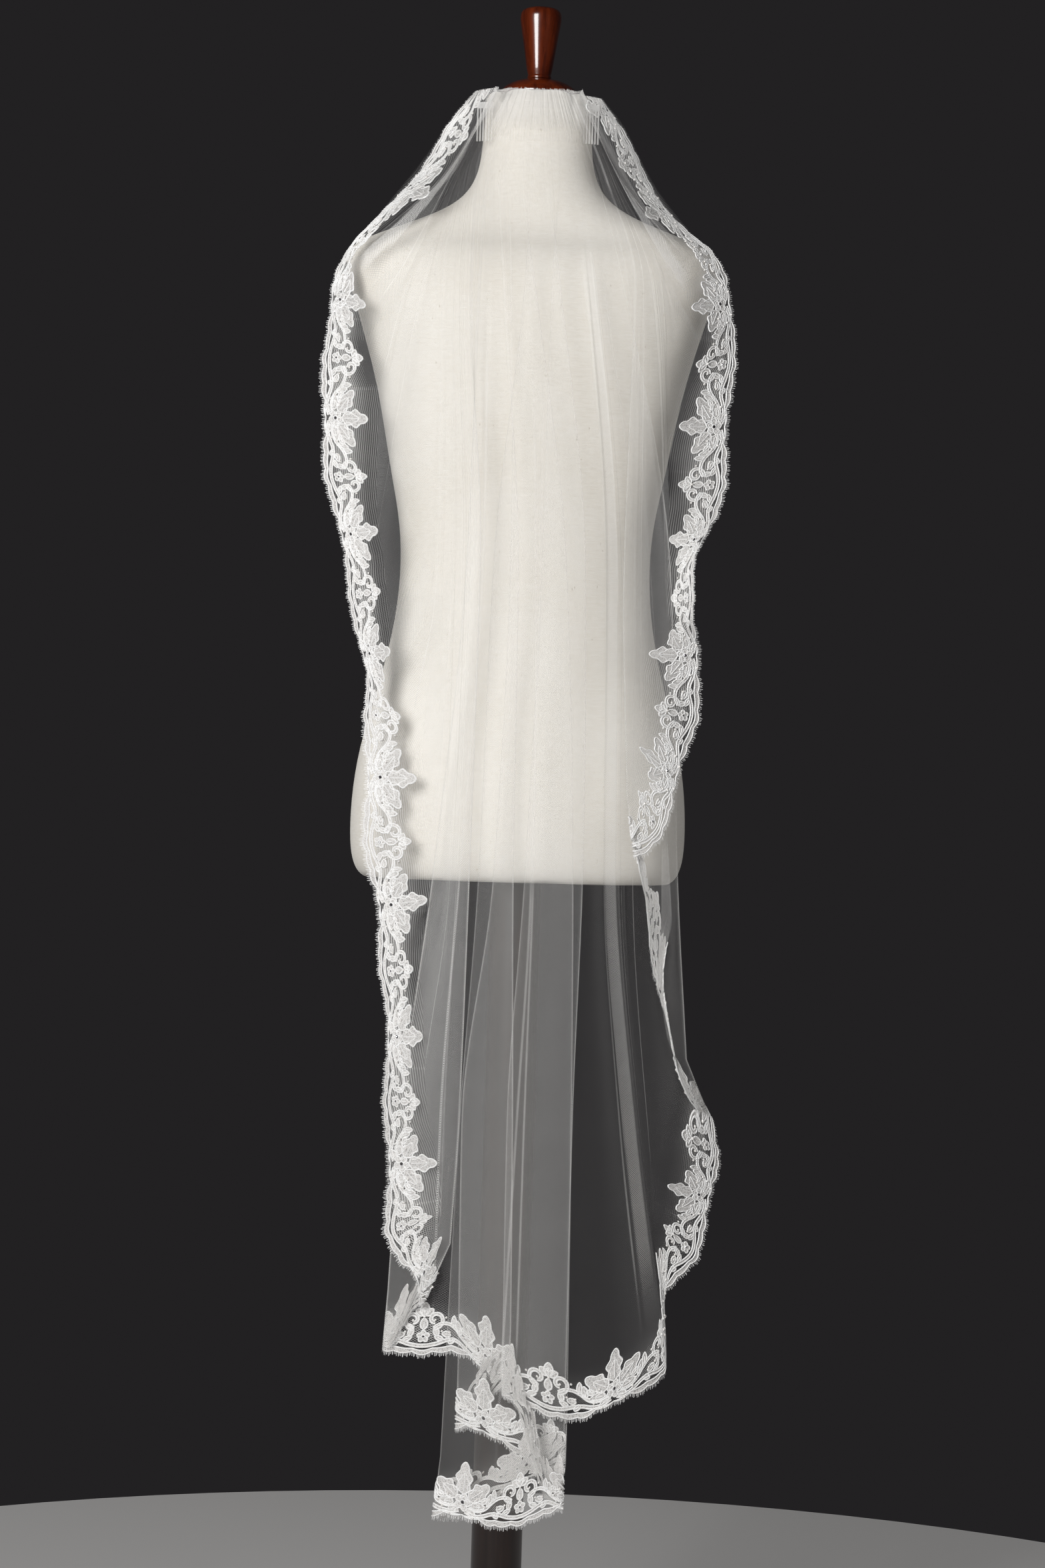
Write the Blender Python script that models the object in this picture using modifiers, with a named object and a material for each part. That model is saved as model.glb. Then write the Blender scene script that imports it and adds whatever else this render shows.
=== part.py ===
"""Lace-edged bridal veil on a limbless dress form with a turned stand.

Origin: centre of the foot's underside, on the pole's axis. +Z up, the form's back faces -Y.
Tables are in millimetres, everything else in metres.
"""
import math

import bpy
import numpy as np

mm = 0.001

# Stand
BASE_RADIUS = 0.195
BASE_HEIGHT = 0.030
POLE_RADIUS = 0.025
FORM_BOTTOM = 0.825
NECK_TOP = 1.597
SEAT = 0.0003
CAP_RADIUS = 0.0395
CAP_HEIGHT = 0.0175
FINIAL_HEIGHT = 0.0708
FINIAL_TOP_RADIUS = 0.0204
FINIAL_FOOT_RADIUS = 0.0112
ROUND_STEPS = 32
FORM_STEPS = 36
FORM_POWER = 2.4

# Comb
COMB_HALF = 0.0615
COMB_TOP = 1.5830
SPINE_HEIGHT = 0.006
TOOTH_LENGTH = 0.032
TOOTH_PITCH = 0.0028
TOOTH_WIDTH = 0.0012
COMB_THICKNESS = 0.0012

# Veil
TULLE_WALL = 0.0010
LACE_WALL = 0.0010
LACE_CLEAR = 0.0005
TULLE_INSET = 0.007
GATHER = 0.0003
FOLD_SPREAD = 0.0025
VEIL_TOP = 1.5845
FORM_CLEAR = 0.007
LACE_FLOWER_DEPTH = 0.060
LACE_BUD_DEPTH = 0.053
LACE_PLAIN_DEPTH = 0.034
COMB_SHARE = 0.46

# The tables of lines give places as seen at PLANE_DEPTH behind the pole's axis, by an eye at
# this distance and height, so a point that hangs nearer or further is scaled about the eye
EYE_DISTANCE = 3.618
EYE_HEIGHT = 0.920
PLANE_DEPTH = 0.120

# Heights at which a gathered line of the veil is measured
LEVELS = {"neck": 1500, "shoulder": 1400, "waist": 1130, "hip": 827, "knee": 600}

# Horizontal sections of the form: half width, depth to the front (+Y) and to the back (-Y)
FORM_COLUMNS = ("z", "half", "front", "back")
FORM_SECTIONS = [
    (825, 149.9, 92, 104),
    (829, 156.1, 98, 110),
    (838, 161.3, 101, 114),
    (856, 165.4, 103, 117),
    (899, 165.4, 104, 117),
    (951, 159.2, 104, 111),
    (1008, 142.7, 101, 99),
    (1065, 128.2, 94, 84),
    (1122, 122, 90, 76),
    (1173, 124.1, 96, 76),
    (1220, 134.4, 109, 82),
    (1266, 142.7, 124, 90),
    (1313, 152, 128, 97),
    (1359, 165.4, 119, 101),
    (1396, 176.8, 101, 100),
    (1419, 184.1, 86, 95),
    (1436, 185.1, 70, 86),
    (1446, 179.9, 60, 76),
    (1456, 159.2, 56, 69),
    (1467, 129.2, 53, 64),
    (1480, 95.1, 51, 61),
    (1495, 71.3, 50, 59),
    (1515, 58.9, 49, 57),
    (1540, 53.8, 48, 55),
    (1597, 51.7, 48, 52),
]

# Depth behind the form at which the veil's innermost layer hangs, and the width it wraps
HANG_COLUMNS = ("z", "back", "half")
HANG = [
    (200, 129, 232),
    (500, 128, 226),
    (827, 126, 196),
    (900, 125, 192),
    (1000, 117, 196),
    (1130, 113, 216),
    (1250, 113, 232),
    (1350, 113, 226),
    (1420, 108, 200),
]

# Distance between neighbouring layers of the folded tulle
GAP_COLUMNS = ("z", "gap")
LAYER_GAP = [
    (200, 7.6),
    (600, 7.2),
    (827, 6.2),
    (1130, 4.6),
    (1400, 3.2),
    (1500, 2.2),
    (1580, 0.4),
]

# One row for each line that runs from the comb to the edge, from the left comb end round the
# hem to the right comb end. x at each level, the edge point, the edging's direction inwards,
# its turn away from the viewer, and the layer number before and after (they differ at a fold)
LINE_COLUMNS = ("name", "neck", "shoulder", "waist", "hip", "knee",
                "in_x", "in_z", "x", "z", "curl", "before", "after")
LINES = [
    ("comb_left", -91, None, None, None, None, 9, 2, -62, 1580, 4, 0, 0),
    ("left_1", -90, None, None, None, None, 13, -3, -82, 1552, 34, 0, 0),
    ("left_2", -89, None, None, None, None, 18, -8, -107, 1511, 44, 0, 0),
    ("left_3", -88, None, None, None, None, 32, -12, -148, 1460, 18, 0, 0),
    ("left_4", -85, None, None, None, None, 46, -16, -180, 1421, 0, 0, 0),
    ("left_5", -82, None, None, None, None, 52, -10, -196, 1385, 0, 0.1, 0.1),
    ("left_6", -79.5, -124, None, None, None, 56, 0, -197, 1344, -4, 0.2, 0.2),
    ("left_7", -77.5, -118, None, None, None, 60, 0, -202, 1290, 3, 0.3, 0.3),
    ("left_8", -76, -112, None, None, None, 61, 0, -198, 1230, 7, 0.4, 0.4),
    ("left_9", -74.5, -106, None, None, None, 62, 10, -187, 1175, 0, 0.5, 0.5),
    ("left_10", -73, -100, None, None, None, 62, 10, -173, 1122, -5, 0.6, 0.6),
    ("left_11", -71.5, -93, -97, None, None, 62, 10, -162, 1059, 2, 0.9, 0.9),
    ("left_12", -70.3, -89, -87, None, None, 62, 5, -149, 1010, 7, 1.2, 1.2),
    ("left_13", -69.2, -85, -82, None, None, 63, 0, -151, 950, 0, 1.5, 1.5),
    ("left_14", -68.2, -82, -78, None, None, 63, 0, -150, 890, -4, 1.8, 1.8),
    ("left_15", -67.2, -79, -74, None, None, 63, 6, -145, 840, 0, 2.0, 2.0),
    ("left_16", -66.2, -76, -70, None, None, 60, 10, -136, 795, 5, 2.0, 2.0),
    ("left_17", -65.3, -74, -66, -69, None, 60, 8, -130, 748, 5, 2.0, 2.0),
    ("left_18", -64.4, -72, -62, -66, None, 56, 6, -123, 700, 0, 2.0, 2.0),
    ("left_19", -63.5, -70, -59, -63, None, 56, 0, -122, 650, -5, 2.0, 2.0),
    ("left_20", -62.7, -68.5, -56, -60.5, None, 55, 0, -121, 600, -3, 2.0, 2.0),
    ("left_21", -61.9, -67, -53, -58, -63.5, 53, 5, -119, 540, 4, 2.0, 2.0),
    ("left_22", -61.1, -65.5, -51, -55.5, -61, 51, 18, -116, 490, 4, 2.0, 2.0),
    ("left_23", -60.3, -64, -49, -53, -58.5, 38, 40, -102, 458, 0, 2.0, 2.0),
    ("left_24", -59.3, -62.5, -47, -50.5, -55, 26, 50, -87, 440, 0, 2.0, 2.0),
    ("fold_a", -57, -59, -42, -44, -47, 26, 62, -78, 418, 0, 2.0, 1.0),
    ("fold_b", -47, -51, -56, -80, -104, 4, 63, -115, 371, 0, 1.0, 0.0),
    ("hem_1", -41, -40, -34, -44, -50, 2, 63, -51, 373, 0, 0.0, 0.0),
    ("fold_c", -35, -28, -6, -2, 4, 0, 63, 8, 342, 0, 0.0, 1.0),
    ("fold_d", -25, -21, -14, -22, -45, 0, 63, -42, 299, 0, 1.0, 2.0),
    ("fold_e", -13, 2, 40, 55, 60, 0, 63, 64, 262, 0, 2.0, 3.0),
    ("fold_f", -4, -8, -30, -36, -47, 6, 63, -62, 215, 0, 3.0, 6.0),
    ("hem_2", 4, 9, 14, 14, 7, 0, 63, -4, 207, 0, 6.0, 6.0),
    ("fold_g", 12, 26, 58, 64, 61, 0, 63, 62, 222, 0, 6.0, 5.0),
    ("fold_h", 22, 18, 16, 8, -2, 0, 63, 0, 329, 0, 5.0, 4.0),
    ("hem_3", 30, 36, 50, 46, 55, 0, 63, 72, 312, 0, 4.0, 4.0),
    ("hem_4", 36, 47, 68, 70, 86, 0, 63, 110, 326, -6, 3.8, 3.8),
    ("fold_i", 42, 58, 88, 97, 122, -8, 62, 156, 367, 0, 3.5, 3.5),
    ("flap_1", 45, 62, 94, 102, 126, -12, 60, 154, 425, 6, 3.3, 3.3),
    ("flap_2", 48, 66, 102, 109, None, -46, 40, 186, 477, 0, 3.1, 3.1),
    ("flap_3", 50, 70, 110, 118, None, -57, 15, 199, 530, 0, 2.9, 2.9),
    ("flap_4", 52, 75, 118, 127, None, -56, 10, 203, 560, 0, 2.75, 2.75),
    ("flap_5", 54.5, 80, 128, 140, None, -45, 30, 199, 584, 0, 2.6, 2.6),
    ("fold_r", 58, 86, 139, 155, None, -24, 56, 192, 606, 0, 2.5, 3.8),
    ("turn_0", 59, 87.3, 134.5, 153, None, -8, 60, 169, 628, 0, 3.9, 3.9),
    ("turn_1", 60, 88.5, 130, None, None, 2, 62, 150, 690, 0, 4.0, 4.0),
    ("turn_2", 61.5, 90.5, 121, None, None, 12, 60, 134, 735, 0, 4.25, 4.25),
    ("turn_3", 63, 92.5, 112, None, None, 12, 60, 127, 795, -3, 4.5, 4.5),
    ("turn_4", 64.5, 94.5, 104, None, None, 2, 61, 120, 828, 0, 4.75, 4.75),
    ("fold_s", 66.5, 97, 94, None, None, -10, 62, 113, 850, 0, 5.0, 5.8),
    ("right_1", 68.5, 99.5, 101, None, None, -27, 53, 137, 872, 0, 5.8, 5.8),
    ("right_2", 69.5, 101.5, 105, None, None, -37, 45, 149, 900, -4, 5.8, 5.8),
    ("right_3", 70.3, 104, 109, None, None, -46, 25, 160, 945, 0, 5.8, 5.8),
    ("right_4", 71.1, 106.5, 113, None, None, -56, 12, 172, 1000, -3, 5.8, 5.8),
    ("right_5", 71.9, 109.5, 117, None, None, -56, 0, 174, 1050, -8, 5.8, 5.8),
    ("right_6", 72.6, 112.5, None, None, None, -42, -2, 163, 1087, -22, 5.8, 5.8),
    ("right_7", 73.3, 115.5, None, None, None, -38, 0, 163, 1127, -24, 5.8, 5.8),
    ("right_8", 74.1, 119, None, None, None, -55, 0, 186, 1185, -8, 5.8, 5.8),
    ("right_9", 75, 122.5, None, None, None, -60, 0, 193, 1240, 0, 5.3, 5.3),
    ("right_10", 76, 126, None, None, None, -60, 0, 195, 1300, 4, 4.4, 4.4),
    ("right_11", 77.3, 130, None, None, None, -57, 0, 196, 1350, 6, 3.3, 3.3),
    ("right_12", 79, None, None, None, None, -56, -12, 190, 1400, 0, 2.2, 2.2),
    ("right_13", 81.2, None, None, None, None, -43, -20, 170, 1432, 12, 1.2, 1.2),
    ("right_14", 84, None, None, None, None, -32, -12, 148, 1450, 24, 0.6, 0.6),
    ("right_15", 87, None, None, None, None, -19, -10, 118, 1483, 44, 0.3, 0.3),
    ("right_16", 89, None, None, None, None, -15, -8, 99, 1514, 44, 0, 0),
    ("right_17", 90, None, None, None, None, -12, -4, 83, 1546, 34, 0, 0),
    ("comb_right", 91, None, None, None, None, -9, 2, 62, 1576, 4, 0, 0),
]

# Shares of each line's length, from the comb down to the inner limit of the edging
ROWS = [0.0, 0.03, 0.065, 0.10, 0.14, 0.19, 0.26, 0.36, 0.48, 0.62, 0.80, 1.0]

# Stretches of the edging, each from one line to another. The short turn over fold_r has none
LACE_STRIPS = [
    ("lace_left", "comb_left", "left_22"),
    ("lace_hem", "left_22", "flap_4"),
    ("lace_right", "turn_1", "comb_right"),
]

# Where the edging's flowers lie, measured along the edge from the left comb end
FLOWERS = [
    -20, 102, 220, 336, 446, 567, 690, 815, 940, 1065, 1168, 1262, 1390, 1510, 1635, 1757, 1860,
    1960, 2088, 2205, 2325, 2415, 2510, 2635, 2767, 2874, 2985, 3094, 3212, 3330, 3440, 3550,
]

STRIP_ENDS = {end for strip in LACE_STRIPS for end in strip[1:]}

MATERIALS = {
    "tulle": ((0.86, 0.85, 0.83, 1.0), 0.85, 0.0),
    "lace": ((0.93, 0.92, 0.90, 1.0), 0.70, 0.0),
    "linen": ((0.83, 0.78, 0.70, 1.0), 0.90, 0.0),
    "comb": ((0.88, 0.87, 0.85, 1.0), 0.25, 0.0),
    "mahogany": ((0.10, 0.012, 0.004, 1.0), 0.18, 0.0),
    "dark_wood": ((0.020, 0.010, 0.008, 1.0), 0.35, 0.0),
}


def column(columns, rows, name):
    i = columns.index(name)
    return [row[i] for row in rows]


def level_value(columns, rows, name, z):
    zs = np.array(column(columns, rows, "z")) * mm
    values = np.array(column(columns, rows, name)) * mm
    return np.interp(z, zs, values)


def soft_curve(xs, ys, at):
    """Monotone cubic through the points, so no bump lies between two of them."""
    xs = np.asarray(xs, float)
    ys = np.asarray(ys, float)
    at = np.asarray(at, float)
    if len(xs) == 2:
        return np.interp(at, xs, ys)
    step = np.diff(xs)
    rise = np.diff(ys) / step
    slope = np.zeros(len(xs))
    for k in range(1, len(xs) - 1):
        if rise[k - 1] * rise[k] > 0:
            w1 = 2 * step[k] + step[k - 1]
            w2 = step[k] + 2 * step[k - 1]
            slope[k] = (w1 + w2) / (w1 / rise[k - 1] + w2 / rise[k])
    slope[0] = rise[0]
    slope[-1] = rise[-1]
    k = np.clip(np.searchsorted(xs, at, side="right") - 1, 0, len(xs) - 2)
    t = (at - xs[k]) / step[k]
    h00 = (1 + 2 * t) * (1 - t) ** 2
    h10 = t * (1 - t) ** 2
    h01 = t * t * (3 - 2 * t)
    h11 = t * t * (t - 1)
    return h00 * ys[k] + h10 * step[k] * slope[k] + h01 * ys[k + 1] + h11 * step[k] * slope[k + 1]


def smooth_step(low, high, value):
    t = np.clip((value - low) / (high - low), 0.0, 1.0)
    return t * t * (3 - 2 * t)


def form_back(x, z):
    half = level_value(FORM_COLUMNS, FORM_SECTIONS, "half", z)
    back = level_value(FORM_COLUMNS, FORM_SECTIONS, "back", z)
    share = np.clip(np.abs(x) / half, 0.0, 1.0)
    depth = back * (1 - share ** FORM_POWER) ** (1 / FORM_POWER)
    return np.where(z < FORM_BOTTOM, 0.0, depth)


def hang_depth(x, z):
    """How far behind the pole's axis the innermost layer hangs."""
    back = level_value(HANG_COLUMNS, HANG, "back", z)
    half = level_value(HANG_COLUMNS, HANG, "half", z)
    share = np.clip(np.abs(x) / half, 0.0, 0.99)
    body = back * (1 - share ** FORM_POWER) ** (1 / FORM_POWER)
    at_comb = comb_depth(x) + COMB_THICKNESS / 2 + SEAT + TULLE_WALL / 2 + GATHER
    down = smooth_step(0.0, 1.0, (COMB_TOP - z) / (COMB_TOP - 1.430))
    depth = at_comb * (1 - down) + body * down
    return np.maximum(depth, form_back(x, z) + FORM_CLEAR * down)


def comb_depth(x):
    """The comb's gentle curve round the back of the neck."""
    near = np.minimum(np.abs(x), 0.070)
    return 0.0559 - 3.6 * near * near


def layer_gap(z):
    return level_value(GAP_COLUMNS, LAYER_GAP, "gap", z)


def line_path(line):
    """The x and z of one line at each row, down to the edging's inner limit."""
    inner_x = line["x"] + line["in_x"]
    inner_z = line["z"] + line["in_z"]
    xs = [COMB_SHARE * line["neck"]]
    zs = [VEIL_TOP / mm]
    for name, level in LEVELS.items():
        if line[name] is not None and level > inner_z + 22:
            xs.append(line[name])
            zs.append(level)
    xs.append(inner_x)
    zs.append(inner_z)
    lengths = np.concatenate([[0.0], np.cumsum(np.hypot(np.diff(xs), np.diff(zs)))])
    at = np.array(ROWS) * lengths[-1]
    return soft_curve(lengths, xs, at) * mm, soft_curve(lengths, zs, at) * mm


def veil_nodes():
    """Key columns of the veil: one for each line, three round each fold."""
    lines = [dict(zip(LINE_COLUMNS, row)) for row in LINES]
    edges = np.array([(line["x"], line["z"]) for line in lines]) * mm
    inners = edges + np.array([(line["in_x"], line["in_z"]) for line in lines]) * mm
    paths = [line_path(line) for line in lines]
    all_x = np.array([np.append(path[0], edge[0]) for path, edge in zip(paths, edges)])
    all_z = np.array([np.append(path[1], edge[1]) for path, edge in zip(paths, edges)])
    nodes = []
    travelled = 0.0
    for k, line in enumerate(lines):
        if k:
            travelled += math.hypot(*(edges[k] - edges[k - 1]))
        node = {
            "name": line["name"],
            "u": travelled,
            "x": all_x[k],
            "z": all_z[k],
            "curl": line["curl"] * mm,
            "layer": line["before"],
            "fold": line["before"] != line["after"],
        }
        if not node["fold"]:
            nodes.append(node)
            continue
        side = 1.0 if inners[k][0] > inners[k - 1][0] else -1.0
        radius = 0.5 * abs(line["after"] - line["before"]) * layer_gap(node["z"])
        reach = 1.2 * radius[-1] + 0.001
        middle = (line["before"] + line["after"]) / 2
        for step, layer in ((-1, line["before"]), (0, None), (1, line["after"])):
            part = dict(node)
            if step:
                back = 0.45 * side * (all_x[k] - all_x[k + step])
                tuck = np.clip(back, -FOLD_SPREAD, radius)
                part["x"] = node["x"] - side * tuck
                part["layer"] = middle + 0.6 * (layer - middle)
                part["name"] = ""
            else:
                part["layer"] = middle
            part["u"] = travelled + step * reach
            nodes.append(part)
    return nodes


def veil_columns():
    """Columns of points from the comb to the edge: those of the folds, and four to each of the
    edging's flowers between them.
    """
    nodes = veil_nodes()
    keys = np.array([node["u"] for node in nodes])
    fixed = [node["u"] for node in nodes if node["fold"]]
    fixed += [keys[0], keys[-1]] + [node["u"] for node in nodes if node["name"] in STRIP_ENDS]
    count = len(FLOWERS)
    even = np.interp(np.arange(0, count - 1, 0.25), np.arange(count), FLOWERS) * mm
    even = [u for u in even if min(abs(u - f) for f in fixed) > 0.010 and 0 < u < keys[-1]]
    at = np.array(sorted(set(fixed) | set(even)))
    rows = len(ROWS) + 1
    x = np.array([soft_curve(keys, [node["x"][i] for node in nodes], at) for i in range(rows)]).T
    z = np.array([soft_curve(keys, [node["z"][i] for node in nodes], at) for i in range(rows)]).T
    layer = soft_curve(keys, [node["layer"] for node in nodes], at)
    curl = soft_curve(keys, [node["curl"] for node in nodes], at)
    names = {node["name"]: int(np.argmin(np.abs(at - node["u"]))) for node in nodes if node["name"]}
    drop = np.zeros_like(x)
    drop[:, -1] = curl
    seen_x = x
    seen_z = z
    depth = hang_depth(x, z) + layer[:, None] * layer_gap(z) - drop
    for _ in range(2):
        share = (EYE_DISTANCE - depth) / (EYE_DISTANCE - PLANE_DEPTH)
        x = seen_x * share
        z = EYE_HEIGHT + (seen_z - EYE_HEIGHT) * share
        depth = hang_depth(x, z) + layer[:, None] * layer_gap(z) - drop
    step = np.abs(np.diff(x, axis=0))
    spacing = np.minimum(np.concatenate([step[:1], step]), np.concatenate([step, step[-1:]]))
    height = np.minimum(120 * spacing * spacing, GATHER) * smooth_step(1.15, 1.45, z)
    wave = np.sin(np.arange(len(at)) * math.pi / 2)
    depth += height * wave[:, None]
    points = np.stack([x, -depth, z], axis=-1)
    edge = points[:, -1]
    inner = points[:, -2]
    width = np.linalg.norm(inner - edge, axis=1)
    taper = np.minimum(1.0, width / LACE_FLOWER_DEPTH)
    limits = np.array([lace_depths(u) for u in at]) * taper[:, None] / width[:, None]
    rim = np.minimum(TULLE_INSET / width, 0.4 * limits[:, 1])
    band = [edge + (inner - edge) * share[:, None] for share in (limits[:, 1], rim, limits[:, 0])]
    points = np.concatenate([points[:, :-1], np.stack(band, axis=1)], axis=1)
    return points, at, names


def point_normals(points):
    """Unit normals of the grid's points, towards the viewer on the front layers."""
    columns, rows = points.shape[:2]
    flat = points.reshape(-1, 3)
    total = np.zeros_like(flat)
    faces = np.array(grid_faces(columns, rows))
    corners = flat[faces]
    for k in range(3):
        a = corners[:, (k + 1) % 3] - corners[:, k]
        b = corners[:, (k + 2) % 3] - corners[:, k]
        cross = np.cross(a, b)
        size = np.linalg.norm(cross, axis=1)
        angle = np.arctan2(size, np.sum(a * b, axis=1))
        np.add.at(total, faces[:, k], cross / np.maximum(size, 1e-15)[:, None] * angle[:, None])
    total /= np.linalg.norm(total, axis=1)[:, None]
    return total.reshape(columns, rows, 3)


def new_object(name, vertices, faces, material, collection):
    mesh = bpy.data.meshes.new(name)
    mesh.from_pydata([tuple(v) for v in vertices], [], faces)
    mesh.update()
    obj = bpy.data.objects.new(name, mesh)
    collection.objects.link(obj)
    obj.data.materials.append(material)
    return obj


def grid_faces(columns, rows):
    faces = []
    for j in range(columns - 1):
        for i in range(rows - 1):
            a = j * rows + i
            faces.append((a, a + 1, a + rows + 1))
            faces.append((a, a + rows + 1, a + rows))
    return faces


def add_wall(obj, thickness):
    wall = obj.modifiers.new("wall", "SOLIDIFY")
    wall.thickness = thickness
    wall.offset = 0.0
    wall.use_even_offset = False
    wall.use_rim = True


def cloth_wall(name, points, normals, low, high, material, collection):
    """A closed wall between two offsets of the same points."""
    columns, rows = points.shape[:2]
    outer = (points + normals * high).reshape(-1, 3)
    inner = (points + normals * low).reshape(-1, 3)
    count = len(outer)
    faces = grid_faces(columns, rows)
    faces += [tuple(i + count for i in reversed(face)) for face in faces]
    rim = [j * rows for j in range(columns)]
    rim += [(columns - 1) * rows + i for i in range(1, rows)]
    rim += [j * rows + rows - 1 for j in range(columns - 2, -1, -1)]
    rim += [i for i in range(rows - 2, 0, -1)]
    for a, b in zip(rim, rim[1:] + rim[:1]):
        faces.append((a, b, b + count))
        faces.append((a, b + count, a + count))
    return new_object(name, np.concatenate([outer, inner]), faces, material, collection)


def lathe(name, profile, material, collection):
    """Turn a profile of radius and height, given from the top down."""
    mesh = bpy.data.meshes.new(name)
    vertices = [(radius, 0.0, z) for radius, z in profile]
    edges = [(k, k + 1) for k in range(len(profile) - 1)]
    mesh.from_pydata(vertices, edges, [])
    obj = bpy.data.objects.new(name, mesh)
    collection.objects.link(obj)
    obj.data.materials.append(material)
    turn = obj.modifiers.new("turn", "SCREW")
    turn.axis = "Z"
    turn.angle = 2 * math.pi
    turn.steps = ROUND_STEPS
    turn.render_steps = ROUND_STEPS
    turn.use_merge_vertices = True
    turn.merge_threshold = 0.0001
    return obj


def make_form(material, collection):
    vertices = []
    for z, half, front, back in FORM_SECTIONS:
        for k in range(FORM_STEPS):
            angle = 2 * math.pi * k / FORM_STEPS
            c = math.cos(angle)
            s = math.sin(angle)
            reach = (abs(c) ** FORM_POWER + abs(s) ** FORM_POWER) ** (-1 / FORM_POWER)
            depth = front if s > 0 else back
            vertices.append((half * c * reach * mm, depth * s * reach * mm, z * mm))
    rings = len(FORM_SECTIONS)
    faces = [tuple(reversed(range(FORM_STEPS)))]
    for r in range(rings - 1):
        for k in range(FORM_STEPS):
            a = r * FORM_STEPS + k
            b = r * FORM_STEPS + (k + 1) % FORM_STEPS
            faces.append((a, b, b + FORM_STEPS, a + FORM_STEPS))
    faces.append(tuple(range((rings - 1) * FORM_STEPS, rings * FORM_STEPS)))
    return new_object("form_torso", vertices, faces, material, collection)


def make_comb(material, collection):
    """A spine with fine teeth, bent gently round the neck."""
    count = int(2 * COMB_HALF / TOOTH_PITCH)
    first = -(count - 1) / 2 * TOOTH_PITCH
    edges = []
    for k in range(count):
        middle = first + k * TOOTH_PITCH
        edges.append(middle - TOOTH_WIDTH / 2)
        edges.append(middle + TOOTH_WIDTH / 2)
    levels = (COMB_TOP, COMB_TOP - SPINE_HEIGHT, COMB_TOP - SPINE_HEIGHT - TOOTH_LENGTH)
    vertices = []
    for x in edges:
        for z in levels:
            vertices.append((x, -float(comb_depth(x)), z))
    faces = []
    for k in range(len(edges) - 1):
        a = 3 * k
        faces.append((a, a + 1, a + 4, a + 3))
        if k % 2 == 0:
            faces.append((a + 1, a + 2, a + 5, a + 4))
    used = sorted({i for face in faces for i in face})
    place = {i: k for k, i in enumerate(used)}
    faces = [tuple(place[i] for i in face) for face in faces]
    obj = new_object("comb", [vertices[i] for i in used], faces, material, collection)
    add_wall(obj, COMB_THICKNESS)
    return obj


def lace_depths(length):
    """Outer and inner limit of the edging at a distance along the edge."""
    phase = float(np.interp(length / mm, FLOWERS, np.arange(len(FLOWERS)))) % 1.0
    flower = max(0.0, 1 - min(phase, 1 - phase) / 0.22)
    bud = max(0.0, 1 - abs(phase - 0.5) / 0.20)
    inner = LACE_PLAIN_DEPTH
    inner += (LACE_FLOWER_DEPTH - LACE_PLAIN_DEPTH) * min(1.0, 1.5 * flower)
    inner += (LACE_BUD_DEPTH - LACE_PLAIN_DEPTH) * min(1.0, 1.5 * bud)
    outer = 0.003 * math.sin(2 * math.pi * phase) ** 2
    return outer, inner


def make_lace(name, first, last, points, normals, material, collection):
    """A strip on the tulle's own points, moved out, with its motifs' outline."""
    strip = points[first:last + 1, -3:].copy()
    lift = normals[first:last + 1, -3:].copy()
    for end, beside in ((0, 1), (-1, -2)):
        strip[end] = strip[end] * 0.97 + strip[beside] * 0.03
        lift[end] = lift[end] * 0.97 + lift[beside] * 0.03
    low = TULLE_WALL / 2 + LACE_CLEAR
    return cloth_wall(name, strip, lift, low, low + LACE_WALL, material, collection)


def make_material(name, colour, roughness, metallic):
    material = bpy.data.materials.new(name)
    material.use_nodes = True
    shader = material.node_tree.nodes["Principled BSDF"]
    shader.inputs["Base Color"].default_value = colour
    shader.inputs["Roughness"].default_value = roughness
    shader.inputs["Metallic"].default_value = metallic
    material.diffuse_color = colour
    return material


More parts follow.
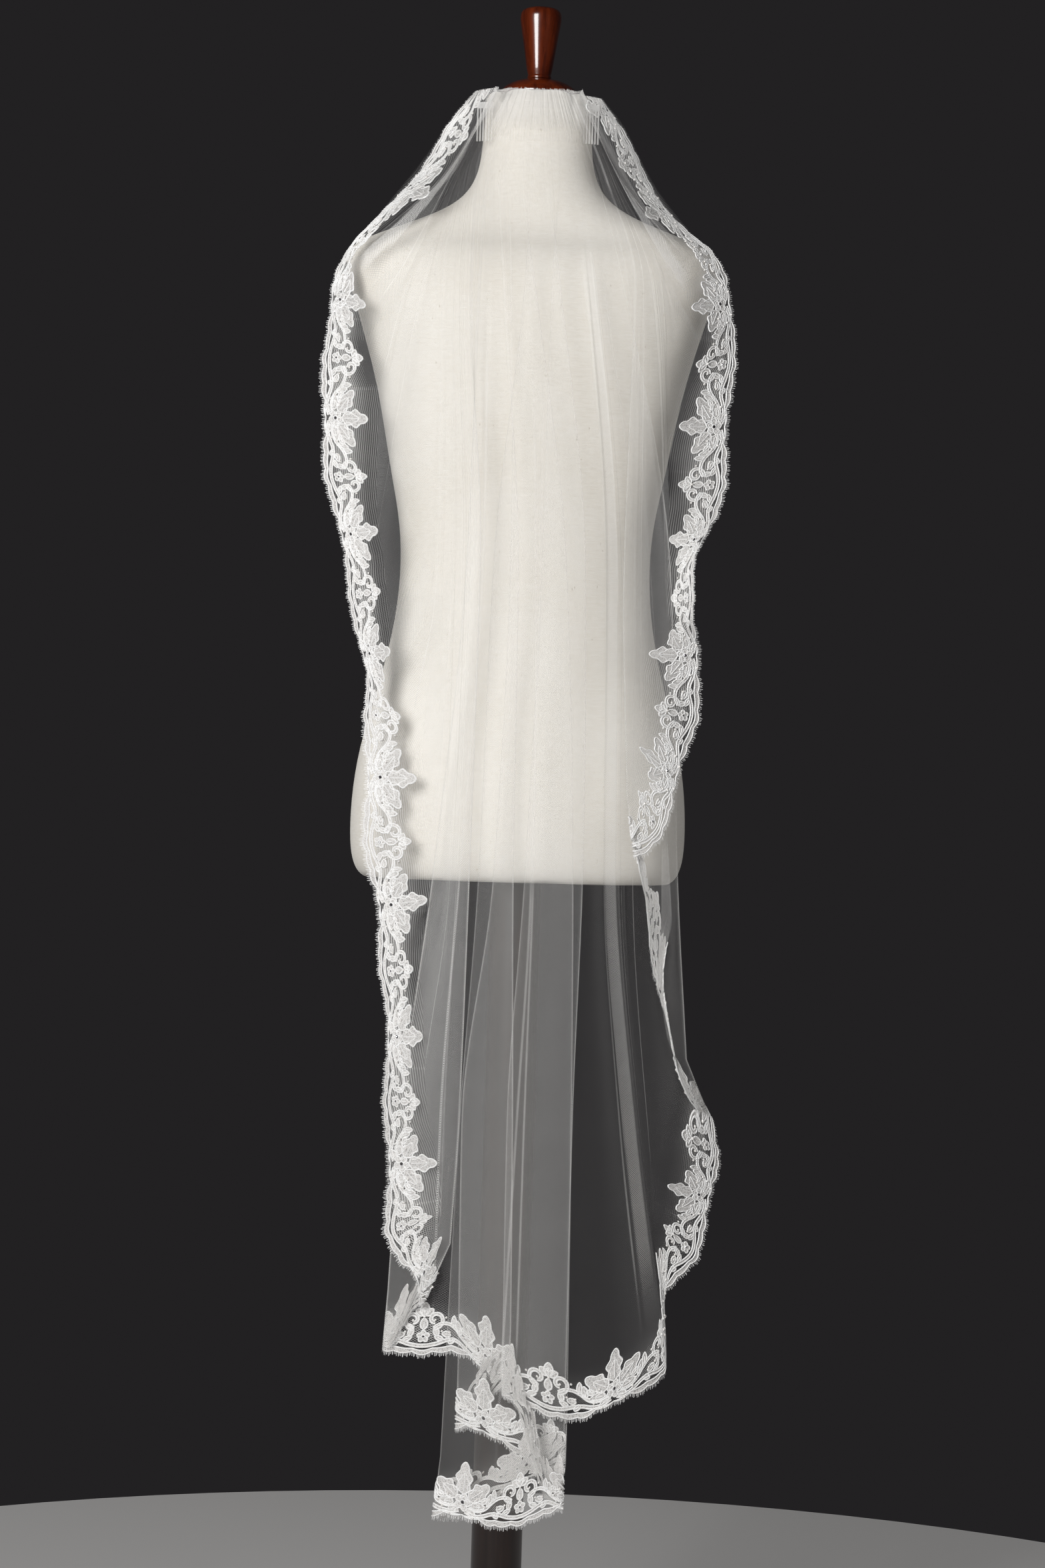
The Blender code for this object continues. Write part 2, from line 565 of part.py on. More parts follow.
def main():
    for obj in list(bpy.data.objects):
        bpy.data.objects.remove(obj, do_unlink=True)
    collection = bpy.data.collections.new("veil_on_dress_form")
    bpy.context.scene.collection.children.link(collection)
    stuff = {name: make_material(name, *values) for name, values in MATERIALS.items()}

    lathe("base", [
        (0.0, BASE_HEIGHT),
        (BASE_RADIUS - 0.030, BASE_HEIGHT),
        (BASE_RADIUS - 0.008, BASE_HEIGHT - 0.006),
        (BASE_RADIUS, BASE_HEIGHT - 0.016),
        (BASE_RADIUS, 0.003),
        (BASE_RADIUS - 0.003, 0.0),
        (0.0, 0.0),
    ], stuff["dark_wood"], collection)
    lathe("pole", [
        (0.0, FORM_BOTTOM - SEAT),
        (POLE_RADIUS, FORM_BOTTOM - SEAT),
        (POLE_RADIUS, BASE_HEIGHT + SEAT),
        (0.0, BASE_HEIGHT + SEAT),
    ], stuff["dark_wood"], collection)
    make_form(stuff["linen"], collection)
    low = NECK_TOP + SEAT
    lathe("neck_cap", [
        (0.0, low + CAP_HEIGHT),
        (0.012, low + CAP_HEIGHT - 0.0003),
        (0.0215, low + 0.0152),
        (0.029, low + 0.0125),
        (0.0345, low + 0.0090),
        (0.0375, low + 0.0060),
        (CAP_RADIUS - 0.0006, low + 0.0035),
        (CAP_RADIUS, low + 0.0022),
        (CAP_RADIUS - 0.0015, low),
        (0.0, low),
    ], stuff["mahogany"], collection)
    foot = low + CAP_HEIGHT + SEAT
    lathe("finial", [
        (0.0, foot + FINIAL_HEIGHT),
        (0.010, foot + FINIAL_HEIGHT - 0.0004),
        (0.0170, foot + FINIAL_HEIGHT - 0.0022),
        (FINIAL_TOP_RADIUS - 0.0007, foot + FINIAL_HEIGHT - 0.0055),
        (FINIAL_TOP_RADIUS, foot + FINIAL_HEIGHT - 0.0098),
        (FINIAL_TOP_RADIUS - 0.0012, foot + FINIAL_HEIGHT - 0.0170),
        (0.0167, foot + 0.036),
        (0.0142, foot + 0.020),
        (FINIAL_FOOT_RADIUS + 0.0009, foot + 0.007),
        (FINIAL_FOOT_RADIUS, foot + 0.003),
        (0.0118, foot + 0.0022),
        (0.0118, foot),
        (0.0, foot),
    ], stuff["mahogany"], collection)
    make_comb(stuff["comb"], collection)

    points, at, names = veil_columns()
    normals = point_normals(points)
    half = TULLE_WALL / 2
    cloth_wall("tulle", points[:, :-1], normals[:, :-1], -half, half, stuff["tulle"], collection)
    for name, first, last in LACE_STRIPS:
        make_lace(name, names[first], names[last], points, normals, stuff["lace"], collection)


main()
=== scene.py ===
import bpy
import math
import numpy as np
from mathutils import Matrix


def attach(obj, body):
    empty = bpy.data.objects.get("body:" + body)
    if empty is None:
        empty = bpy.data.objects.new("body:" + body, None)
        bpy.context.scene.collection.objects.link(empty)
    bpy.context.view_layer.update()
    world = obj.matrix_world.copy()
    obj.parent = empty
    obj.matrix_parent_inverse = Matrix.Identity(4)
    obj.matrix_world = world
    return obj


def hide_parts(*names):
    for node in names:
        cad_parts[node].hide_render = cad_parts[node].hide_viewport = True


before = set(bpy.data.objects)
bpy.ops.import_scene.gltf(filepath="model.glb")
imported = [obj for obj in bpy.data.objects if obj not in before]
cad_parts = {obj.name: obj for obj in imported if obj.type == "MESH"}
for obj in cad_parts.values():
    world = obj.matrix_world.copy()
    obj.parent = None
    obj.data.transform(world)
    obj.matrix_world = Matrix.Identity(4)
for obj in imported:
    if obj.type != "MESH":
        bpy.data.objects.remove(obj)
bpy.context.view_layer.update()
bpy.ops.object.select_all(action="DESELECT")
scene = bpy.context.scene
mm = 0.001

# camera: about 3.6 metres back, level, rolled as the picture is
cameraView = {"place": (0.0037, -3.618, 0.9201), "roll": -1.67, "lens": 84.2, "sensor": 36.0}
cameraData = bpy.data.cameras.new("camera")
cameraData.lens = cameraView["lens"]
cameraData.sensor_width = cameraView["sensor"]
camera = bpy.data.objects.new("camera", cameraData)
camera.location = cameraView["place"]
camera.rotation_euler = (math.radians(90), math.radians(cameraView["roll"]), 0)
scene.collection.objects.link(camera)
scene.camera = camera
print("camera placed")


def newMaterial(name, colour, roughness, sheen=0, coat=0):
    material = bpy.data.materials.new(name)
    material.use_nodes = True
    shader = material.node_tree.nodes["Principled BSDF"]
    shader.inputs["Base Color"].default_value = (*colour, 1)
    shader.inputs["Roughness"].default_value = roughness
    shader.inputs["Sheen Weight"].default_value = sheen
    shader.inputs["Coat Weight"].default_value = coat
    return material, material.node_tree, shader


def addNode(tree, kind, **values):
    node = tree.nodes.new(kind)
    for name, value in values.items():
        setattr(node, name, value)
    return node


def mathNode(tree, operation, first, second=None, third=None):
    node = addNode(tree, "ShaderNodeMath", operation=operation)
    for k, value in enumerate((first, second, third)):
        if value is None:
            continue
        if isinstance(value, (int, float)):
            node.inputs[k].default_value = value
        else:
            tree.links.new(value, node.inputs[k])
    return node.outputs[0]


def product(tree, first, second):
    return mathNode(tree, "MULTIPLY", first, second)


def productPlus(tree, first, second, third):
    return mathNode(tree, "MULTIPLY_ADD", first, second, third)


def objectPlace(tree):
    return addNode(tree, "ShaderNodeTexCoord").outputs["Object"]


def clothPlace(tree):
    return addNode(tree, "ShaderNodeUVMap", uv_map="cloth").outputs["UV"]


def axesOf(tree, vector):
    node = addNode(tree, "ShaderNodeSeparateXYZ")
    tree.links.new(vector, node.inputs[0])
    return node.outputs


def noiseAt(tree, vector, scale, detail, rough):
    node = addNode(tree, "ShaderNodeTexNoise")
    node.inputs["Scale"].default_value = scale
    node.inputs["Detail"].default_value = detail
    node.inputs["Roughness"].default_value = rough
    tree.links.new(vector, node.inputs["Vector"])
    return node.outputs["Fac"]


def stretched(tree, vector, scale):
    node = addNode(tree, "ShaderNodeMapping")
    node.inputs["Scale"].default_value = scale
    tree.links.new(vector, node.inputs["Vector"])
    return node.outputs["Vector"]


def colourFrom(tree, shader, value, stops):
    node = addNode(tree, "ShaderNodeValToRGB")
    elements = node.color_ramp.elements
    while len(elements) < len(stops):
        elements.new(0.5)
    for element, (place, colour) in zip(elements, stops):
        element.position = place
        element.color = (*colour, 1)
    tree.links.new(value, node.inputs["Fac"])
    tree.links.new(node.outputs["Color"], shader.inputs["Base Color"])


def bumpFrom(tree, shader, height, strength, distance):
    node = addNode(tree, "ShaderNodeBump")
    node.inputs["Strength"].default_value = strength
    node.inputs["Distance"].default_value = distance
    tree.links.new(height, node.inputs["Height"])
    tree.links.new(node.outputs["Normal"], shader.inputs["Normal"])


def linenMaterial():
    look = {
        "light": (0.90, 0.865, 0.80), "dark": (0.83, 0.785, 0.705), "fleck": (0.60, 0.54, 0.46),
        "thread": 0.0011, "slubs": 120, "clouds": 6, "flecks": 420, "fleckLimit": 0.785, "fleckDepth": 0.30,
        "bump": 0.35, "depth": 0.0006, "sheen": 0.15,
    }
    material, tree, shader = newMaterial("linenCloth", look["light"], 0.88, sheen=look["sheen"])
    place = objectPlace(tree)
    axes = axesOf(tree, place)
    turn = 2 * math.pi / look["thread"]
    warp = mathNode(tree, "SINE", product(tree, axes["X"], turn))
    weft = mathNode(tree, "SINE", product(tree, axes["Z"], turn))
    weave = product(tree, warp, weft)
    slubs = noiseAt(tree, stretched(tree, place, (1, 1, 7)), look["slubs"], 4, 0.6)
    clouds = noiseAt(tree, place, look["clouds"], 3, 0.5)
    flecks = noiseAt(tree, stretched(tree, place, (1, 1, 0.4)), look["flecks"], 1, 0.4)
    fleck = mathNode(tree, "GREATER_THAN", flecks, look["fleckLimit"])
    fleck = product(tree, fleck, look["fleckDepth"])
    tone = productPlus(tree, clouds, 0.5, product(tree, slubs, 0.5))
    tone = mathNode(tree, "SUBTRACT", tone, fleck)
    colourFrom(tree, shader, tone, [(0.10, look["fleck"]), (0.40, look["dark"]), (0.60, look["light"])])
    height = productPlus(tree, slubs, 0.7, product(tree, weave, 0.3))
    bumpFrom(tree, shader, height, look["bump"], look["depth"])
    return material


def lacquerMaterial(name, dark, light, rough, coat):
    look = {"grain": 160, "bands": 28, "coatRough": 0.06, "bump": 0.06, "depth": 0.0004}
    material, tree, shader = newMaterial(name, light, rough, coat=coat)
    place = objectPlace(tree)
    grain = noiseAt(tree, stretched(tree, place, (1, 1, 0.06)), look["grain"], 5, 0.6)
    bands = noiseAt(tree, stretched(tree, place, (1, 1, 0.15)), look["bands"], 2, 0.5)
    tone = productPlus(tree, grain, 0.55, product(tree, bands, 0.45))
    colourFrom(tree, shader, tone, [(0.36, dark), (0.62, light)])
    shader.inputs["Coat Roughness"].default_value = look["coatRough"]
    bumpFrom(tree, shader, grain, look["bump"], look["depth"])
    return material


def tulleMaterial():
    # a diamond net on the cloth's own u and v, closer where the cloth is gathered, and more or less opaque by
    # place as painted light and shade
    look = {
        "tint": (0.95, 0.935, 0.91), "pitch": 0.0014, "thread": 0.20, "slope": 0.62, "patches": 30,
        "threadAlpha": 0.125, "openAlpha": 0.011, "mostAlpha": 0.92, "sheen": 0.3,
    }
    material, tree, shader = newMaterial("tulleNet", look["tint"], 0.55, sheen=look["sheen"])
    uv = clothPlace(tree)
    axes = axesOf(tree, uv)
    threads = None
    for slope in (look["slope"], -look["slope"]):
        along = productPlus(tree, axes["Y"], slope, axes["X"])
        cell = mathNode(tree, "FRACT", product(tree, along, 1 / look["pitch"]))
        off = mathNode(tree, "ABSOLUTE", mathNode(tree, "SUBTRACT", cell, 0.5))
        line = mathNode(tree, "LESS_THAN", off, look["thread"] / 2)
        threads = line if threads is None else mathNode(tree, "MAXIMUM", threads, line)
    # the attribute holds the net's closeness together with its painted light and shade
    density = addNode(tree, "ShaderNodeAttribute", attribute_name="closeNetPaintedLight").outputs["Fac"]
    net = productPlus(tree, threads, look["threadAlpha"], look["openAlpha"])
    uneven = productPlus(tree, noiseAt(tree, uv, look["patches"], 2, 0.5), 0.3, 0.85)
    alpha = product(tree, product(tree, net, density), uneven)
    alpha = mathNode(tree, "MINIMUM", alpha, look["mostAlpha"])
    tree.links.new(alpha, shader.inputs["Alpha"])
    return material


def cordMaterial():
    # twisted cord, a little uneven in its white
    look = {
        "dark": (0.92, 0.905, 0.885), "light": (0.985, 0.98, 0.97), "twist": 260, "clouds": 90,
        "bump": 0.5, "depth": 0.0003, "sheen": 0.3,
    }
    material, tree, shader = newMaterial("laceCord", (0.94, 0.93, 0.91), 0.42, sheen=look["sheen"])
    uv = clothPlace(tree)
    wave = addNode(tree, "ShaderNodeTexWave", wave_type="BANDS", bands_direction="DIAGONAL")
    wave.inputs["Scale"].default_value = look["twist"]
    wave.inputs["Distortion"].default_value = 1.5
    tree.links.new(uv, wave.inputs["Vector"])
    tone = noiseAt(tree, uv, look["clouds"], 2, 0.5)
    colourFrom(tree, shader, tone, [(0.3, look["dark"]), (0.6, look["light"])])
    bumpFrom(tree, shader, wave.outputs["Fac"], look["bump"], look["depth"])
    return material


def stitchMaterial():
    # close stitching inside the petals and leaves, with the net showing between
    look = {
        "tangle": 900, "loops": 520, "thread": 0.17, "loopAlpha": 0.35, "tangleAlpha": 1.15,
        "bump": 0.8, "depth": 0.0005,
    }
    material, tree, shader = newMaterial("laceStitch", (0.74, 0.72, 0.70), 0.8)
    uv = clothPlace(tree)
    tangle = noiseAt(tree, uv, look["tangle"], 3, 0.7)
    loops = addNode(tree, "ShaderNodeTexVoronoi", feature="DISTANCE_TO_EDGE")
    loops.inputs["Scale"].default_value = look["loops"]
    tree.links.new(uv, loops.inputs["Vector"])
    body = mathNode(tree, "LESS_THAN", loops.outputs["Distance"], look["thread"])
    tangled = product(tree, tangle, look["tangleAlpha"])
    alpha = productPlus(tree, body, look["loopAlpha"], tangled)
    tree.links.new(alpha, shader.inputs["Alpha"])
    bumpFrom(tree, shader, tangle, look["bump"], look["depth"])
    return material


def pearlMaterial():
    look = {"dark": (0.90, 0.86, 0.82), "light": (0.96, 0.95, 0.93), "clouds": 300, "coat": 0.6}
    material, tree, shader = newMaterial("pearl", (0.92, 0.90, 0.86), 0.18, coat=look["coat"])
    place = objectPlace(tree)
    clouds = noiseAt(tree, place, look["clouds"], 1, 0.4)
    colourFrom(tree, shader, clouds, [(0.3, look["dark"]), (0.7, look["light"])])
    return material


def stoneMaterial():
    look = {"dark": (0.05, 0.045, 0.055), "light": (0.75, 0.73, 0.74), "paintedGlints": 1400, "metal": 0.85}
    material, tree, shader = newMaterial("rhinestone", (0.14, 0.13, 0.15), 0.08)
    place = objectPlace(tree)
    # the bright speckles in the stone's colour are painted glints of its facets
    paintedGlints = noiseAt(tree, place, look["paintedGlints"], 1, 0.5)
    colourFrom(tree, shader, paintedGlints, [(0.42, look["dark"]), (0.62, look["light"])])
    shader.inputs["Metallic"].default_value = look["metal"]
    return material


def combMaterial():
    # plainest at the ends, where no gathers lie over the teeth
    look = {"end": 0.043, "rise": 120, "endAlpha": 0.42, "cloudAlpha": 0.04, "leastAlpha": 0.005, "coat": 0.4}
    material, tree, shader = newMaterial("combPlastic", (0.90, 0.89, 0.87), 0.22, coat=look["coat"])
    place = objectPlace(tree)
    axes = axesOf(tree, place)
    past = mathNode(tree, "SUBTRACT", mathNode(tree, "ABSOLUTE", axes["X"]), look["end"])
    ends = addNode(tree, "ShaderNodeMath", operation="MULTIPLY", use_clamp=True)
    tree.links.new(past, ends.inputs[0])
    ends.inputs[1].default_value = look["rise"]
    clouds = noiseAt(tree, place, 60, 2, 0.5)
    haze = productPlus(tree, clouds, look["cloudAlpha"], look["leastAlpha"])
    alpha = productPlus(tree, ends.outputs[0], look["endAlpha"], haze)
    tree.links.new(alpha, shader.inputs["Alpha"])
    return material


linen = linenMaterial()
mahogany = lacquerMaterial("mahoganyLacquer", (0.036, 0.004, 0.001), (0.150, 0.022, 0.004), 0.25, 1.0)
darkWood = lacquerMaterial("darkStain", (0.010, 0.006, 0.005), (0.030, 0.016, 0.012), 0.38, 0.3)
tulleNet = tulleMaterial()
laceLooks = [cordMaterial(), stitchMaterial(), pearlMaterial(), stoneMaterial()]
combPlastic = combMaterial()
print("materials made")


# the veil's shape, from the same tables as its solid
formColumns = ("z", "half", "back")
formSections = [
    (825, 149.9, 104), (829, 156.1, 110), (838, 161.3, 114), (856, 165.4, 117), (899, 165.4, 117),
    (951, 159.2, 111), (1008, 142.7, 99), (1065, 128.2, 84), (1122, 122, 76), (1173, 124.1, 76),
    (1220, 134.4, 82), (1266, 142.7, 90), (1313, 152, 97), (1359, 165.4, 101), (1396, 176.8, 100),
    (1419, 184.1, 95), (1436, 185.1, 86), (1446, 179.9, 76), (1456, 159.2, 69), (1467, 129.2, 64),
    (1480, 95.1, 61), (1495, 71.3, 59), (1515, 58.9, 57), (1540, 53.8, 55), (1597, 51.7, 52),
]

# depth behind the form at which the innermost layer hangs, and the width that it wraps
hangColumns = ("z", "back", "half")
hangRows = [
    (200, 129, 232), (500, 128, 226), (827, 126, 196), (900, 125, 192), (1000, 117, 196),
    (1130, 113, 216), (1250, 113, 232), (1350, 113, 226), (1420, 108, 200),
]

# distance between neighbouring layers
gapColumns = ("z", "gap")
layerGaps = [(200, 7.6), (600, 7.2), (827, 6.2), (1130, 4.6), (1400, 3.2), (1500, 2.2), (1580, 0.4)]

# the heights of neck, shoulders, waist, hips and knees, where a line that reaches them has its own x
veilLevels = (1500, 1400, 1130, 827, 600)

# every line from the comb to the edge, from the left comb end round the hem to the right one.
# in_x and in_z differ from the solid's where the edging is bunched, turned or narrow between flowers.
# a fold has a layer before and after it, and any other line has one layer
lineColumns = ("name", "levels", "in_x", "in_z", "x", "z", "curl", "before", "after")
veilLines = [
    ("comb_left", (-91,), 24, 4, -62, 1580, 2, 0),
    ("left_1", (-90,), 25, -6, -82, 1552, 30, 0),
    ("left_2", (-89,), 27, -12, -107, 1511, 40, 0),
    ("left_3", (-88,), 13, -8, -148, 1460, 18, 0),
    ("left_4", (-85,), 12, -6, -180, 1421, 0, 0),
    ("left_5", (-82,), 38, -8, -196, 1385, 0, 0.1),
    ("left_6", (-79.5, -124), 38, 0, -197, 1344, -4, 0.2),
    ("left_7", (-77.5, -118), 58, 0, -202, 1290, 3, 0.3),
    ("left_8", (-76, -112), 54, 0, -198, 1230, 7, 0.4),
    ("left_9", (-74.5, -106), 44, 7, -187, 1175, 0, 0.5),
    ("left_10", (-73, -100), 38, 6, -173, 1122, -5, 0.6),
    ("left_11", (-71.5, -93, -97), 35, 6, -162, 1059, 2, 0.9),
    ("left_12", (-70.3, -89, -87), 27, 2, -149, 1010, 7, 1.2),
    ("left_13", (-69.2, -85, -82), 58, 0, -151, 950, 0, 1.5),
    ("left_14", (-68.2, -82, -78), 63, 0, -150, 890, -4, 1.8),
    ("left_15", (-67.2, -79, -74), 63, 6, -145, 840, 0, 2),
    ("left_16", (-66.2, -76, -70), 54, 10, -136, 795, 5, 2),
    ("left_17", (-65.3, -74, -66, -69), 40, 6, -130, 748, 5, 2),
    ("left_18", (-64.4, -72, -62, -66), 38, 4, -123, 700, 0, 2),
    ("left_19", (-63.5, -70, -59, -63), 40, 0, -122, 650, -5, 2),
    ("left_20", (-62.7, -68.5, -56, -60.5), 44, 0, -121, 600, -3, 2),
    ("left_21", (-61.9, -67, -53, -58, -63.5), 55, 5, -119, 540, 4, 2),
    ("left_22", (-61.1, -65.5, -51, -55.5, -61), 54, 18, -116, 490, 4, 2),
    ("left_23", (-60.3, -64, -49, -53, -58.5), 38, 40, -102, 458, 0, 2),
    ("left_24", (-59.3, -62.5, -47, -50.5, -55), 26, 50, -87, 440, 0, 2),
    ("fold_a", (-57, -59, -42, -44, -47), 26, 62, -78, 418, 0, 2, 1),
    ("fold_b", (-47, -51, -56, -80, -104), 4, 63, -115, 371, 0, 1, 0),
    ("hem_1", (-41, -40, -34, -44, -50), 2, 63, -51, 373, 0, 0),
    ("fold_c", (-35, -28, -6, -2, 4), 0, 63, 8, 342, 0, 0, 1),
    ("fold_d", (-25, -21, -14, -22, -45), 0, 63, -42, 299, 0, 1, 2),
    ("fold_e", (-13, 2, 40, 55, 60), 0, 63, 64, 262, 0, 2, 3),
    ("fold_f", (-4, -8, -30, -36, -47), 6, 63, -62, 215, 0, 3, 6),
    ("hem_2", (4, 9, 14, 14, 7), 0, 63, -4, 207, 0, 6),
    ("fold_g", (12, 26, 58, 64, 61), 0, 63, 62, 222, 0, 6, 5),
    ("fold_h", (22, 18, 16, 8, -2), 0, 63, 0, 329, 0, 5, 4),
    ("hem_3", (30, 36, 50, 46, 55), 0, 63, 72, 312, 0, 4),
    ("hem_4", (36, 47, 68, 70, 86), 0, 63, 110, 326, -6, 3.8),
    ("fold_i", (42, 58, 88, 97, 122), -8, 62, 156, 367, 0, 3.5),
    ("flap_1", (45, 62, 94, 102, 126), -12, 60, 154, 425, 6, 3.3),
    ("flap_2", (48, 66, 102, 109), -46, 40, 186, 477, 0, 3.1),
    ("flap_3", (50, 70, 110, 118), -57, 15, 199, 530, 0, 2.9),
    ("flap_4", (52, 75, 118, 127), -56, 10, 203, 560, 0, 2.75),
    ("flap_5", (54.5, 80, 128, 140), -45, 30, 199, 584, 0, 2.6),
    ("fold_r", (58, 86, 139, 155), -24, 56, 192, 606, 0, 2.5, 3.8),
    ("turn_0", (59, 87.3, 134.5, 153), -21, 57, 169, 628, 0, 3.9),
    ("turn_1", (60, 88.5, 130), -9, 61, 150, 690, 0, 4),
    ("turn_2", (61.5, 90.5, 121), 16, 60, 134, 735, 0, 4.25),
    ("turn_3", (63, 92.5, 112), -2, 62, 127, 795, -3, 4.5),
    ("turn_4", (64.5, 94.5, 104), -5, 61, 120, 828, 0, 4.75),
    ("fold_s", (66.5, 97, 94), -10, 62, 113, 850, 0, 5, 5.8),
    ("right_1", (68.5, 99.5, 101), -27, 53, 137, 872, 0, 5.8),
    ("right_2", (69.5, 101.5, 105), -37, 45, 149, 900, -4, 5.8),
    ("right_3", (70.3, 104, 109), -46, 25, 160, 945, 0, 5.8),
    ("right_4", (71.1, 106.5, 113), -56, 12, 172, 1000, -3, 5.8),
    ("right_5", (71.9, 109.5, 117), -56, 0, 174, 1050, -8, 5.8),
    ("right_6", (72.6, 112.5), -26, -2, 163, 1087, -22, 5.8),
    ("right_7", (73.3, 115.5), -27, 0, 163, 1127, -24, 5.8),
    ("right_8", (74.1, 119), -50, 0, 186, 1185, -8, 5.8),
    ("right_9", (75, 122.5), -60, 0, 193, 1240, 0, 5.3),
    ("right_10", (76, 126), -54, 0, 195, 1300, 4, 4.4),
    ("right_11", (77.3, 130), -38, 0, 196, 1350, 6, 3.3),
    ("right_12", (79,), -44, -9, 190, 1400, 0, 2.2),
    ("right_13", (81.2,), -17, -10, 170, 1432, 12, 1.2),
    ("right_14", (84,), -15, -9, 148, 1450, 24, 0.6),
    ("right_15", (87,), -20, -11, 118, 1483, 40, 0.3),
    ("right_16", (89,), -20, -10, 99, 1514, 40, 0),
    ("right_17", (90,), -24, -7, 83, 1546, 30, 0),
    ("comb_right", (91,), -24, 3, 62, 1576, 2, 0),
]

# where the flowers of the edging lie, measured along the edge, in millimetres
flowerPlaces = [
    -20, 112, 244, 359, 474, 589, 706, 832, 956, 1077, 1205, 1262, 1384, 1510, 1635, 1757, 1860,
    1960, 2088, 2205, 2325, 2420, 2526, 2640, 2754, 2878, 2992, 3103, 3222, 3338, 3445, 3550,
]

# creases that run down from the gathers
creaseColumns = ("place", "depth", "width", "start", "end")
creaseRows = [
    (300, 2.2, 14, 0.10, 0.86), (352, 1.8, 12, 0.18, 0.97), (505, 2.6, 13, 0.08, 0.80),
    (618, 2.2, 12, 0.12, 0.93), (735, 2.0, 14, 0.06, 0.72), (870, 2.4, 13, 0.10, 0.90),
    (1010, 1.9, 12, 0.10, 0.80), (1310, 2.4, 12, 0.15, 0.95), (1362, 1.8, 10, 0.25, 0.88),
    (1752, 1.6, 9, 0.12, 0.97), (1800, 2.2, 12, 0.10, 0.92), (2012, 2.4, 10, 0.15, 0.96),
    (2062, 2.0, 12, 0.20, 0.90), (2112, 2.6, 13, 0.12, 0.94), (2168, 2.0, 12, 0.20, 0.85),
    (2230, 1.9, 12, 0.15, 0.80), (2740, 2.2, 12, 0.10, 0.82), (2850, 2.0, 13, 0.08, 0.76),
    (2960, 2.4, 14, 0.10, 0.86), (3090, 2.2, 14, 0.08, 0.80), (3170, 2.0, 12, 0.12, 0.90),
]

# small pleats where the net lies double, with sharp sides
pleatColumns = ("place", "half", "strength", "start", "end")
pleatRows = [
    (205, 7.5, 4.2, 0.04, 1.00), (262, 0.9, 4.7, 0.10, 0.92), (330, 0.8, 4.3, 0.10, 0.97),
    (470, 0.8, 3.6, 0.12, 0.90), (655, 0.9, 4.7, 0.15, 0.99), (842, 0.8, 3.6, 0.15, 0.95),
    (985, 0.9, 4.7, 0.20, 1.00), (1120, 0.8, 4.3, 0.25, 1.00), (1330, 0.8, 4.7, 0.20, 1.00),
    (1650, 1.0, 5.0, 0.20, 1.00), (1786, 0.9, 4.3, 0.20, 1.00), (2132, 8.5, 3.2, 0.12, 1.00),
    (2118, 0.8, 3.6, 0.12, 1.00), (2190, 0.8, 4.0, 0.15, 1.00), (2290, 0.8, 4.3, 0.15, 0.99),
    (2560, 0.9, 4.3, 0.15, 0.96), (2800, 0.8, 3.6, 0.12, 0.90), (2930, 0.9, 4.3, 0.10, 0.95),
    (3060, 0.8, 3.6, 0.10, 0.92), (3248, 7.5, 4.2, 0.04, 1.00), (3270, 0.9, 4.7, 0.05, 0.95),
]

# painted light and shade: how opaque the net is made by place along the edge, higher where it should look lit
# and lower where it should look shaded: place along the edge, share
netPaintedLight = [
    (0, 1.1), (900, 1.15), (960, 1.4), (1240, 1.4), (1400, 0.95), (1480, 0.72), (1950, 0.72), (2010, 0.42),
    (2085, 0.45), (2118, 0.85), (2150, 0.85), (2185, 0.5), (2330, 0.5), (2480, 0.9), (2760, 1.0), (3455, 1.1),
]

veil = {
    "top": 1.5845, "foldSpread": 0.0025, "formClear": 0.007, "formFoot": 0.825, "hangsFree": 1.430,
    "roundness": 2.4, "combShare": 0.46, "gatherHeight": 0.0007, "sink": 0.0035, "ragged": 0.0011,
    "endDrop": 0.004, "flowerDepth": 0.060, "step": 0.0055, "rows": 66,
    "bandRows": (0.17, 0.33, 0.5, 0.67, 0.83, 0.955),
}
# how close the net looks: at folds, small pleats, over the form, at the comb and under the edging
net = {
    "foldStrength": 6.0, "foldWidth": 0.0013, "broadPleat": 0.003, "onForm": 0.4, "slant": 0.6,
    "closest": 3.6, "bunch": 13.0, "border": (1.0, 1.0, 1.6, 3.0, 3.6, 1.0, 0.0),
}
comb = {
    "top": 1.5830, "back": 0.0559, "curve": 3.6, "reach": 0.070, "thickness": 0.0012,
    "seat": 0.0003, "wall": 0.0010, "gather": 0.0003,
}
# the tables give places as seen in a plane behind the pole's axis, by an eye this far and high
eye = {"distance": 3.618, "height": 0.920, "plane": 0.120}


def tableValue(columns, rows, name, z):
    zs = np.array([row[columns.index("z")] for row in rows]) * mm
    values = np.array([row[columns.index(name)] for row in rows]) * mm
    return np.interp(z, zs, values)


def softCurve(xs, ys, at):
    # monotone cubic, so no bump lies between two points
    xs = np.asarray(xs, float)
    ys = np.asarray(ys, float)
    at = np.asarray(at, float)
    if len(xs) == 2:
        return np.interp(at, xs, ys)
    step = np.diff(xs)
    rise = np.diff(ys) / step
    slope = np.zeros(len(xs))
    for k in range(1, len(xs) - 1):
        if rise[k - 1] * rise[k] > 0:
            w1 = 2 * step[k] + step[k - 1]
            w2 = step[k] + 2 * step[k - 1]
            slope[k] = (w1 + w2) / (w1 / rise[k - 1] + w2 / rise[k])
    slope[0] = rise[0]
    slope[-1] = rise[-1]
    k = np.clip(np.searchsorted(xs, at, side="right") - 1, 0, len(xs) - 2)
    t = (at - xs[k]) / step[k]
    first = (1 + 2 * t) * (1 - t) ** 2 * ys[k] + t * (1 - t) ** 2 * step[k] * slope[k]
    return first + t * t * (3 - 2 * t) * ys[k + 1] + t * t * (t - 1) * step[k] * slope[k + 1]


def smoothStep(low, high, value):
    t = np.clip((value - low) / (high - low), 0.0, 1.0)
    return t * t * (3 - 2 * t)


